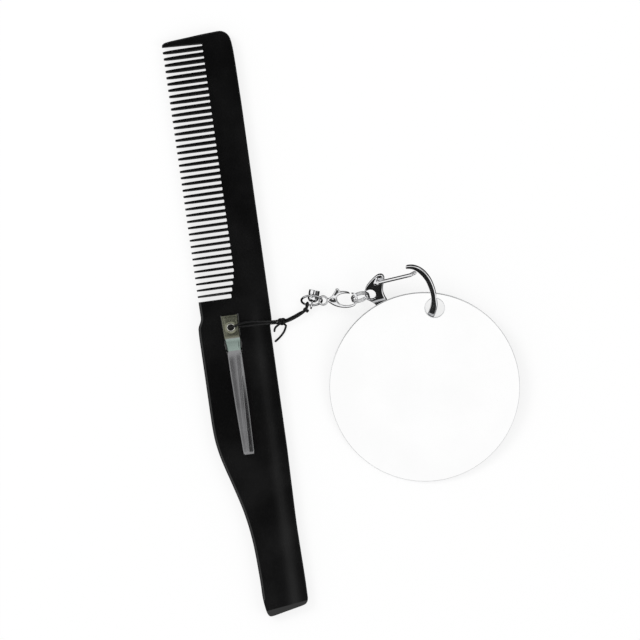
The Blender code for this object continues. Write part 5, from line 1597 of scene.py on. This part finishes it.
@dataclass
class ChainLinks:
    """The links between cord and clasp: an open ring, a crimp barrel, a claw and a split ring.

    The shapes of claw and lever are given in shares of the claw's length and width.
    """

    # the link ring: its turn and lean, wire, radius, middle, and where its wire starts and how
    # far it goes round
    ring_turn: float = -7.9
    ring_lean: float = 62.0
    ring_wire: float = 0.7
    ring_radius: float = 3.3
    ring_place: Place = (14.1, 90.5, 4.35)
    ring_start: float = 95.0
    ring_sweep: float = 350.0
    ring_steps: int = 64
    # the crimp barrel: its size, the way that it points and its height, its eye and its seam
    barrel_radius: float = 1.76
    barrel_wall: float = 0.45
    barrel_start: float = 1.05
    barrel_length: float = 3.9
    barrel_turn: float = 71.0
    barrel_z: float = 1.85
    barrel_eye: tuple[float, float, float] = (1.03, 0.25, 0.3)
    seam_half: float = 0.22
    seam_depth: float = 4.5
    seam_past: float = 0.3
    seam_turn: float = -28.0
    # the claw: its place, turn and size, its rims, how its faces fall off, and its eye
    claw_place: Place = (17.8, 91.02, 4.4)
    claw_turn: float = -4.5
    claw_length: float = 11.15
    claw_width: float = 5.7
    claw_thickness: float = 1.8
    claw_rim: float = 0.55
    claw_middle: Point = (5.6, -0.4)
    claw_fall: Point = (0.012, 0.085)
    claw_eye: tuple[float, float, float] = (1.36, 0.3, 0.36)
    # the thumb lever: its pivot from the claw's eye, its thickness and rims, the slot that it
    # turns in, and half its pin's profile, as radius and distance past the claw's face
    lever_pivot: Point = (3.1, 0.35)
    lever_thickness: float = 0.84
    lever_rim: float = 0.4
    lever_play: float = 0.3
    lever_slot: Point = (3.0, 3.0)
    lever_back: Point = (-0.11, -0.19)
    pin_profile: tuple[Point, ...] = ((0.35, -0.03), (0.24, 0.06), (0.0, 0.08))
    # the split ring: its place, turn and lean, radius, wire, rise, and its two turns
    split_place: Place = (29.85, 91.62, 4.55)
    split_turn: float = 9.5
    split_lean: float = 62.5
    split_radius: float = 2.8
    split_wire: float = 0.5
    split_pitch: float = 0.7
    split_start: float = 0.35
    split_turns: float = 2.0
    split_closed: float = 0.97
    split_steps: int = 120
    claw_shares: tuple[Point, ...] = (
        (0.12, -0.06), (0.19, -0.175), (0.3, -0.33), (0.45, -0.44), (0.62, -0.5), (0.78, -0.488),
        (0.91, -0.405), (0.983, -0.24), (1.005, -0.03), (0.98, 0.185), (0.915, 0.325), (0.83, 0.375),
        (0.811, 0.285), (0.882, 0.268), (0.922, 0.185), (0.935, 0.03), (0.926, -0.16), (0.882, -0.29),
        (0.76, -0.35), (0.63, -0.345), (0.525, -0.3), (0.455, -0.205), (0.42, -0.08), (0.41, 0.06),
        (0.4, 0.22), (0.34, 0.33), (0.25, 0.3), (0.18, 0.17), (0.12, 0.06),
    )
    lever_shares: tuple[Point, ...] = (
        (-0.075, -0.03), (-0.045, -0.105), (0.03, -0.115), (0.085, -0.06), (0.11, 0.06), (0.17, 0.18),
        (0.27, 0.255), (0.38, 0.265), (0.455, 0.248), (0.5, 0.226), (0.506, 0.265), (0.493, 0.314),
        (0.44, 0.368), (0.35, 0.41), (0.25, 0.415), (0.205, 0.44), (0.195, 0.54), (0.15, 0.59),
        (0.095, 0.56), (0.085, 0.45), (0.03, 0.3), (-0.04, 0.12),
    )

    @property
    def ring_frame(self) -> Matrix:
        """The link ring's own plane."""
        return plane_frame(spot(*self.ring_place), self.ring_turn, self.ring_lean)

    def scaled(self, shares: Sequence[Point]) -> list[Point]:
        """Return a shape given in shares of the claw's length and width, its corners softened."""
        return soften([(x * self.claw_length, y * self.claw_width) for x, y in shares], 3)

    def link_ring(self, finishes: Finishes) -> None:
        """Bend the open link ring.

        Args:
            finishes: the finishes.
        """
        radius, line = self.ring_radius, []
        for step in range(self.ring_steps + 1):
            turn = math.radians(self.ring_start + self.ring_sweep * step / self.ring_steps)
            line.append(Vector((radius * math.cos(turn), radius * math.sin(turn), 0.0)))
        piece = Bench.wire("link_jump_ring", line, 0.5 * self.ring_wire, 16, blunt=0.4)
        Bench.settle(piece, finishes.nickel, Body.LINK, "chrome", "link_ring", frame=self.ring_frame)

    def barrel(self, finishes: Finishes) -> None:
        """Turn the crimp barrel with its eye and cut its seam.

        Args:
            finishes: the finishes.
        """
        lug = self.ring_frame @ Vector((0.0, -self.ring_radius, 0.0))
        lug.z = self.ring_place[2] - self.ring_radius * math.sin(math.radians(self.ring_lean))
        axis = heading(self.barrel_turn)
        place = Vector((lug.x, lug.y, self.barrel_z))
        r, wall, start = self.barrel_radius, self.barrel_wall, self.barrel_start
        end, floor = start + self.barrel_length, start + 1.8 * wall
        piece = Bench.turned("crimp_barrel_shell", [
            (0.0, start), (0.42 * r, start), (0.6 * r, start + 0.3 * wall), (0.76 * r, start + 0.9 * wall),
            (0.9 * r, start + 1.6 * wall), (0.975 * r, start + 2.3 * wall), (r, floor + 1.2 * wall),
            (r, floor + 2.6 * wall), (0.93 * r, floor + 3.0 * wall), (0.93 * r, floor + 3.5 * wall),
            (r, floor + 3.9 * wall), (r, end - 0.25 * wall), (0.96 * r, end), (r - 0.8 * wall, end),
            (r - wall, end - 0.2 * wall), (r - wall, floor + wall), (0.0, floor + 0.8 * wall),
        ], 48)
        piece.data.transform(rod_frame(place, axis))
        across = Vector((axis.y, -axis.x, 0.0))
        eye = Bench.turned("barrel_eye", ring_points(*self.barrel_eye, 10), 40, closed=True)
        eye.data.transform(rod_frame(lug, across))
        Bench.carve(piece, eye, "UNION")
        half, depth = self.seam_half, self.seam_depth
        seam = Bench.plate("barrel_seam", [(-half, 0.0), (half, 0.0), (half, depth), (-half, depth)],
                           self.barrel_length)
        middle = Matrix.Translation(place + axis * (floor + 0.5 * self.barrel_length + self.seam_past))
        lengthwise = Matrix((across, UP, -axis)).transposed().to_4x4()
        seam.data.transform(middle @ lengthwise @ Matrix.Rotation(math.radians(self.seam_turn), 4, "Z"))
        Bench.carve(piece, seam)
        Bench.close(piece, fill=True)
        Bench.settle(piece, finishes.chrome, Body.BARREL, "chrome", "crimp_barrel", smooth=30.0)

    def claw(self, finishes: Finishes) -> None:
        """Cast the claw with its eye and slot, and make its lever and pin.

        Args:
            finishes: the finishes.
        """
        frame = plane_frame(spot(*self.claw_place), self.claw_turn, 0.0)
        piece = Bench.plate("claw_casting", self.scaled(self.claw_shares), self.claw_thickness,
                            self.claw_rim, 5)
        Bench.dome(piece, self.claw_middle, self.claw_fall, 0.7)
        eye = Bench.turned("claw_ring", ring_points(*self.claw_eye, 12), 44, closed=True)
        Bench.carve(piece, eye, "UNION")
        pivot = Matrix.Translation((*self.lever_pivot, 0.0))
        (back, deep), (ahead, out) = self.lever_back, self.lever_slot
        back, deep = back * self.claw_length, deep * self.claw_width
        slot = Bench.plate("lever_slot", [(back, deep), (ahead, deep), (ahead, out), (back, out)],
                           self.lever_thickness + self.lever_play)
        slot.data.transform(pivot)
        Bench.carve(piece, slot)
        Bench.settle(piece, finishes.chrome, Body.CLAW, "chrome", "claw_body", frame=frame, smooth=40.0)
        lever = Bench.plate("claw_thumb_lever", self.scaled(self.lever_shares), self.lever_thickness,
                            self.lever_rim, 5)
        Bench.settle(lever, finishes.chrome, Body.LEVER, "chrome", "claw_lever",
                     frame=frame @ pivot, smooth=40.0)
        pin = Bench.pin("claw_pin", self.pin_profile, 0.5 * self.claw_thickness, 24)
        Bench.settle(pin, finishes.chrome, Body.CLAW, "chrome", "claw_lever_pin", frame=frame @ pivot)

    def split_ring(self, finishes: Finishes) -> None:
        """Wind the split ring: two turns of round wire that cross over once.

        Args:
            finishes: the finishes.
        """
        frame = plane_frame(spot(*self.split_place), self.split_turn, 180.0 - self.split_lean)
        radius, line = self.split_radius, []
        for step in range(self.split_steps + 1):
            share = step / self.split_steps
            turn = self.split_start * math.pi + math.tau * self.split_turns * share * self.split_closed
            rise = self.split_pitch * (2.0 * share - 1.0)
            line.append(Vector((radius * math.cos(turn), radius * math.sin(turn), rise)))
        piece = Bench.wire("split_key_ring", line, 0.5 * self.split_wire, 12, blunt=0.4)
        Bench.settle(piece, finishes.chrome, Body.SPLIT, "chrome", "split_ring", frame=frame)

    def build(self, finishes: Finishes) -> None:
        """Make all the links.

        Args:
            finishes: the finishes.
        """
        self.link_ring(finishes)
        self.barrel(finishes)
        self.claw(finishes)
        self.split_ring(finishes)


@dataclass
class RingClasp:
    """The ring clasp through the mirror's hole: a curved hook with an eye, and its sprung gate.

    The hook's outline is given in shares of its reach, from the gate's seat round the outside to
    the eye plate and back along the inside.
    """

    # the clasp's plane: where it crosses the comb's, how it leans, and its origin
    crossing: float = 153.6
    tilt: float = 30.0
    place: Place = (53.0, 98.2, 6.076)
    # the hook: its reach, its thickness, the thickness that the gate is set out from, its rims,
    # and its eye's middle and bore
    reach: float = 23.0
    hook_thickness: float = 1.25
    gate_base: float = 1.1
    rim: float = 0.27
    rim_hold: float = 0.05
    eye: tuple[float, float, float] = (20.8, -2.7, 1.7)
    # the eye's drill, with a chamfer: how much wider and how high it is, from its middle up
    eye_profile: tuple[Point, ...] = ((0.0, 0.2), (0.1, 0.44), (0.32, 0.58), (0.9, 2.0))
    # the gate: its pivot, length and turn, the radius of its bar, and its gap over the hook
    gate_pivot: Point = (20.2, 2.6)
    gate_length: float = 13.1
    gate_turn: float = 144.4
    gate_radius: float = 0.63
    gate_gap: float = 0.3
    gate_eye: tuple[Point, ...] = ((0.9, 0.4), (0.68, 0.58), (0.5, 0.58), (0.42, 0.5))
    outer_shares: tuple[Point, ...] = (
        (0.565, 0.488), (0.555, 0.503), (0.505, 0.53), (0.45, 0.543), (0.385, 0.541), (0.305, 0.518),
        (0.23, 0.47), (0.16, 0.405), (0.095, 0.32), (0.04, 0.225), (0.0, 0.13), (-0.035, 0.05),
        (-0.045, -0.04), (-0.04, -0.14), (-0.005, -0.25), (0.055, -0.345), (0.14, -0.42),
        (0.245, -0.465), (0.36, -0.483), (0.475, -0.47), (0.58, -0.435), (0.67, -0.375), (0.745, -0.29),
        (0.8, -0.24), (0.85, -0.226), (0.915, -0.218), (0.965, -0.188), (1.0, -0.12), (1.003, -0.02),
        (0.972, 0.075), (0.93, 0.17), (0.898, 0.22), (0.855, 0.245), (0.81, 0.225),
    )
    inner_shares: tuple[Point, ...] = (
        (0.788, 0.17), (0.78, 0.07), (0.76, -0.01), (0.715, -0.075), (0.655, -0.13), (0.622, -0.19),
        (0.58, -0.28), (0.5, -0.358), (0.4, -0.392), (0.3, -0.385), (0.205, -0.35), (0.125, -0.285),
        (0.08, -0.205), (0.055, -0.12), (0.055, -0.035), (0.06, 0.05), (0.08, 0.13), (0.12, 0.215),
        (0.175, 0.3), (0.235, 0.375), (0.31, 0.43), (0.385, 0.468), (0.45, 0.48), (0.505, 0.474),
        (0.545, 0.456), (0.558, 0.462),
    )

    @property
    def frame(self) -> Matrix:
        """The clasp's own plane."""
        return plane_frame(spot(*self.place), self.crossing, -self.tilt)

    def hook(self, finishes: Finishes) -> None:
        """Stamp the hook with its eye and round its rims.

        Args:
            finishes: the finishes.
        """
        outline = [(x * self.reach, -y * self.reach) for x, y in (*self.outer_shares, *self.inner_shares)]
        piece = Bench.plate("clasp_hook", soften(outline, 3), self.hook_thickness, self.rim, 5,
                            hold=self.rim_hold)
        x, y, bore = self.eye
        upper = [(bore + wider, height) for wider, height in self.eye_profile]
        drill = Bench.turned("clasp_eye_drill", mirrored([*upper, (0.0, upper[-1][1])]), 56)
        drill.data.transform(Matrix.Translation((x, -y, 0.0)))
        Bench.carve(piece, drill)
        Bench.settle(piece, finishes.chrome, Body.CLASP, "chrome", "clasp_frame",
                     frame=self.frame, smooth=40.0)

    def gate(self, finishes: Finishes) -> None:
        """Make the gate, a round bar with an eye where it is pinned, which dips at its tip.

        Args:
            finishes: the finishes.
        """
        x, y = self.gate_pivot
        turn = Matrix.Rotation(-math.radians(self.gate_turn), 4, "Z")
        frame = self.frame @ Matrix.Translation((x, -y, 0.0)) @ turn
        height = 0.5 * self.gate_base + self.gate_gap + self.gate_radius
        length = self.gate_length
        stations = ((0.9, 1.0), (0.3 * length, 1.0), (0.6 * length, 1.0), (length - 1.6, 0.96),
                    (length - 0.8, 0.62), (length, 0.28))
        line = smooth_line([Vector((along, 0.0, share * height)) for along, share in stations], 0.4)
        bar = Bench.wire("clasp_gate_bar", line, 0.96 * self.gate_radius, 18, blunt=0.6)
        eye = Bench.turned("gate_eye", mirrored(self.gate_eye), 36, closed=True)
        eye.data.transform(Matrix.Translation((0.0, 0.0, height)))
        Bench.carve(bar, eye, "UNION")
        Bench.settle(bar, finishes.chrome, Body.GATE, "chrome", "clasp_gate", frame=frame, smooth=45.0)
        low, high = -0.5 * self.gate_base, height + self.gate_radius
        pin = Bench.turned("clasp_gate_rivet", [
            (0.0, low - 0.3), (0.66, low - 0.3), (0.78, low - 0.24), (0.84, low - 0.1), (0.84, low),
            (0.4, low), (0.4, high - 0.04), (0.56, high - 0.04), (0.58, high + 0.02),
            (0.5, high + 0.1), (0.3, high + 0.14), (0.0, high + 0.15),
        ], 36)
        Bench.settle(pin, finishes.chrome, Body.CLASP, "chrome", "clasp_gate_pin", frame=frame, smooth=45.0)

    def build(self, finishes: Finishes) -> None:
        """Make the clasp and its gate."""
        self.hook(finishes)
        self.gate(finishes)


@dataclass
class RoundMirror:
    """The mirror: a thin round acrylic plate with one hole, silvered up to a narrow clear rim."""

    radius: float = 30.75
    thickness: float = 1.0
    rim: float = 0.13
    silver_margin: float = 0.28
    # the hole: its middle, its radius, its distance from the rim, its chamfers below and above,
    # as how much wider and how deep they are, and the way from it to the mirror's middle
    hole: Place = (53.15, 98.3, 6.076)
    hole_radius: float = 3.12
    hole_to_rim: float = 4.855
    chamfer_below: Point = (0.05, 0.05)
    chamfer_above: Point = (0.2, 0.12)
    towards: Point = (-0.260668, 0.965428)
    # the direction of the level line that the mirror leans about
    crossing: float = 153.6

    def build(self, finishes: Finishes) -> None:
        """Turn the plate, drill its hole and lay its silver, rim and back.

        Args:
            finishes: the finishes.
        """
        reach = self.radius - self.hole_to_rim
        hole = spot(*self.hole)
        foot = Vector((hole.x, hole.y, 0.0))
        centre = spot(*(self.hole[axis] + self.towards[axis] * reach for axis in (0, 1)), 0.0)
        rise = self.radius + (foot - centre).dot(heading(self.crossing).cross(UP))
        tilt = math.degrees(math.asin((hole.z - 0.5 * self.thickness) / rise))
        frame = plane_frame(hole, self.crossing - 180.0, tilt)
        level = Matrix.Rotation(math.radians(self.crossing - 180.0), 4, "Z")
        offset = level.inverted() @ (centre - foot)
        half, r, rim, margin = 0.5 * self.thickness, self.radius, self.rim, self.silver_margin
        profile = [(0.0, -half), (r - rim, -half), (r - 0.3 * rim, -half + 0.3 * rim), (r, -half + rim),
                   (r, half - rim), (r - 0.3 * rim, half - 0.3 * rim), (r - rim, half), (r - margin, half),
                   (0.0, half)]
        piece = Bench.turned("mirror_plate", profile, 192)
        piece.data.transform(Matrix.Translation(offset))
        bore, (below, low), (above, high) = self.hole_radius, self.chamfer_below, self.chamfer_above
        drill = Bench.turned("mirror_drill", [
            (0.0, -2.0), (bore + below, -2.0), (bore + below, -half), (bore, -half + low),
            (bore, half - high), (bore + above, half), (bore + above, 2.0), (0.0, 2.0),
        ], 72)
        Bench.carve(piece, drill)
        for dress in (finishes.glass, finishes.edge, finishes.backing):
            piece.data.materials.append(dress)
        for face in piece.data.polygons:
            silvered = (face.center.xy - offset.xy).length < r - 0.5 * (margin + rim)
            if face.normal.z > 0.9 and silvered:
                face.material_index = 0
            elif face.normal.z < -0.9:
                face.material_index = 2
            else:
                face.material_index = 1
        Bench.settle(piece, finishes.glass, Body.MIRROR, "mirror_acrylic", "mirror_disc",
                     frame=frame, smooth=30.0)


@dataclass(frozen=True)
class Card:
    """A soft-edged card round the set, as shiny pieces see it.

    Attributes give the direction of its middle, the angles in degrees at which it starts and
    ends to fade, and its brightness.
    """

    direction: Place
    inner: float
    outer: float
    tone: float


@dataclass(frozen=True)
class SoftBox:
    """A round lamp that faces the part's origin: its place and width in metres, and its watts."""

    name: str
    place: Place
    width: float
    power: float


@dataclass
class Studio:
    """Floor, lights and camera."""

    # the camera: the middle of its frame, its turn, the frame's width, its lens and sensor, and
    # the height of the plane that it is set out for
    centre: Point = (-10.912, -2.128)
    view_turn: float = -7.897
    frame_width: float = 207.04
    lens: float = 300.0
    sensor: float = 36.0
    focus_height: float = 3.0
    # the floor, in metres, and its tones: as it lights pieces, as seen, as mirrored, and its glow
    floor_size: float = 6.0
    floor_drop: float = 0.00005
    floor_tone: float = 0.9
    floor_mottle: float = 0.01
    floor_shown: float = 0.22
    floor_mirrored: float = 0.03
    floor_lift: float = 0.8
    # how strongly the surround lights matt pieces, and the cards that shiny ones mirror
    sky: float = 0.62
    cards: tuple[Card, ...] = (
        Card((-0.122, 0.087, 1.0), 10.0, 15.0, 0.05),
        Card((-0.563, -0.768, 0.307), 19.0, 27.0, 0.015),
        Card((0.15, -1.0, -0.05), 26.0, 36.0, 0.02),
        Card((-0.1, 1.0, 0.1), 36.0, 46.0, 0.02),
        Card((0.66, 0.05, 0.75), 16.0, 26.0, 0.04),
    )
    boxes: tuple[SoftBox, ...] = (
        SoftBox("key_box", (-0.75, 0.65, 1.05), 0.7, 6.0),
        SoftBox("fill_box", (0.9, -0.5, 0.95), 0.8, 3.0),
    )

    def camera(self) -> None:
        """Hang the camera straight over the part, turned as in the photograph."""
        data = bpy.data.cameras.new("overhead_camera")
        data.lens = self.lens
        data.sensor_width = self.sensor
        data.clip_start, data.clip_end = 0.1, 20.0
        camera = bpy.data.objects.new("overhead_camera", data)
        bpy.context.scene.collection.objects.link(camera)
        height = self.frame_width * self.lens / self.sensor + self.focus_height
        camera.location = (self.centre[0] * MM, self.centre[1] * MM, height * MM)
        camera.rotation_euler = (0.0, 0.0, math.radians(self.view_turn))
        bpy.context.scene.camera = camera

    def world(self) -> None:
        """Light the set from all round: white to the camera, with dark cards for shiny pieces."""
        world = bpy.data.worlds.new("studio_surround")
        bpy.context.scene.world = world
        world.use_nodes = True
        r = Recipe(world.node_tree)
        towards = r.node("TexCoord").outputs["Generated"]
        tone: object = 1.0
        for card in self.cards:
            middle = Vector(card.direction).normalized()
            facing = r.node("VectorMath", {0: towards, 1: tuple(middle)}, operation="DOT_PRODUCT")
            outer, inner = (math.cos(math.radians(angle)) for angle in (card.outer, card.inner))
            tone = r.math("MULTIPLY", tone, r.ramp(facing.outputs["Value"], outer, inner, 1.0, card.tone))
        rays = r.node("LightPath").outputs
        shiny = r.math("MAXIMUM", rays["Is Glossy Ray"], rays["Is Transmission Ray"])
        matt = r.math("SUBTRACT", 1.0, shiny)
        level = r.math("ADD", r.math("MULTIPLY", shiny, tone), r.math("MULTIPLY", matt, self.sky))
        seen = r.math("MAXIMUM", rays["Is Camera Ray"], level)
        back = r.node("Background", {"Color": (1.0, 1.0, 1.0, 1.0), "Strength": seen})
        r.node("OutputWorld", {"Surface": back.outputs[0]})

    def floor(self) -> None:
        """Lay the pale floor, which looks white where no shadow falls."""
        Bench.rest()
        bpy.ops.mesh.primitive_plane_add(size=self.floor_size, location=(0.0, 0.0, -self.floor_drop))
        floor = Bench.named("studio_floor")
        material = bpy.data.materials.new("studio_floor_paint")
        material.use_nodes = True
        r = Recipe(material.node_tree)
        noise = r.node("TexNoise", {"Vector": r.node("TexCoord").outputs["Object"], "Scale": 40.0})
        low, high = self.floor_tone, self.floor_tone + self.floor_mottle
        paint = r.mix(noise.outputs["Fac"], (low,) * 3, (high,) * 3)
        rays = r.node("LightPath").outputs
        shown = r.mix(rays["Is Camera Ray"], paint, (self.floor_shown,) * 3)
        mirrored = r.mix(rays["Is Glossy Ray"], shown, (self.floor_mirrored,) * 3)
        matt = r.node("BsdfDiffuse", {"Color": mirrored})
        glow = r.node("Emission", {"Strength": r.math("MULTIPLY", rays["Is Camera Ray"], self.floor_lift)})
        both = r.node("AddShader", {0: matt.outputs[0], 1: glow.outputs[0]})
        r.node("OutputMaterial", {"Surface": both.outputs[0]})
        floor.data.materials.append(material)

    def lamps(self) -> None:
        """Hang two soft boxes to the sides."""
        for box in self.boxes:
            data = bpy.data.lights.new(box.name, "AREA")
            data.shape = "DISK"
            data.size = box.width
            data.energy = box.power
            lamp = bpy.data.objects.new(box.name, data)
            bpy.context.scene.collection.objects.link(lamp)
            lamp.location = box.place
            lamp.rotation_mode = "QUATERNION"
            lamp.rotation_quaternion = (-Vector(box.place)).to_track_quat("-Z", "Y")
            lamp.visible_camera = False
            lamp.visible_glossy = False

    def build(self) -> None:
        """Set up the whole studio."""
        self.camera()
        self.world()
        self.floor()
        self.lamps()
        bpy.context.scene.view_settings.view_transform = "Standard"


def clear_scene() -> None:
    """Remove what Blender opens with."""
    for item in list(bpy.data.objects):
        bpy.data.objects.remove(item, do_unlink=True)


def main() -> None:
    """Build the part's looks around its solids."""
    logging.basicConfig(level=logging.INFO, format="%(message)s")
    clear_scene()
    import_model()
    Studio().build()
    finishes = Finishes()
    for maker in (KnottedCord(), CombPlate(), SpringClip(), ChainLinks(), RingClasp(), RoundMirror()):
        LOG.info("making %s", type(maker).__name__)
        maker.build(finishes)


if __name__ == "__main__":
    main()
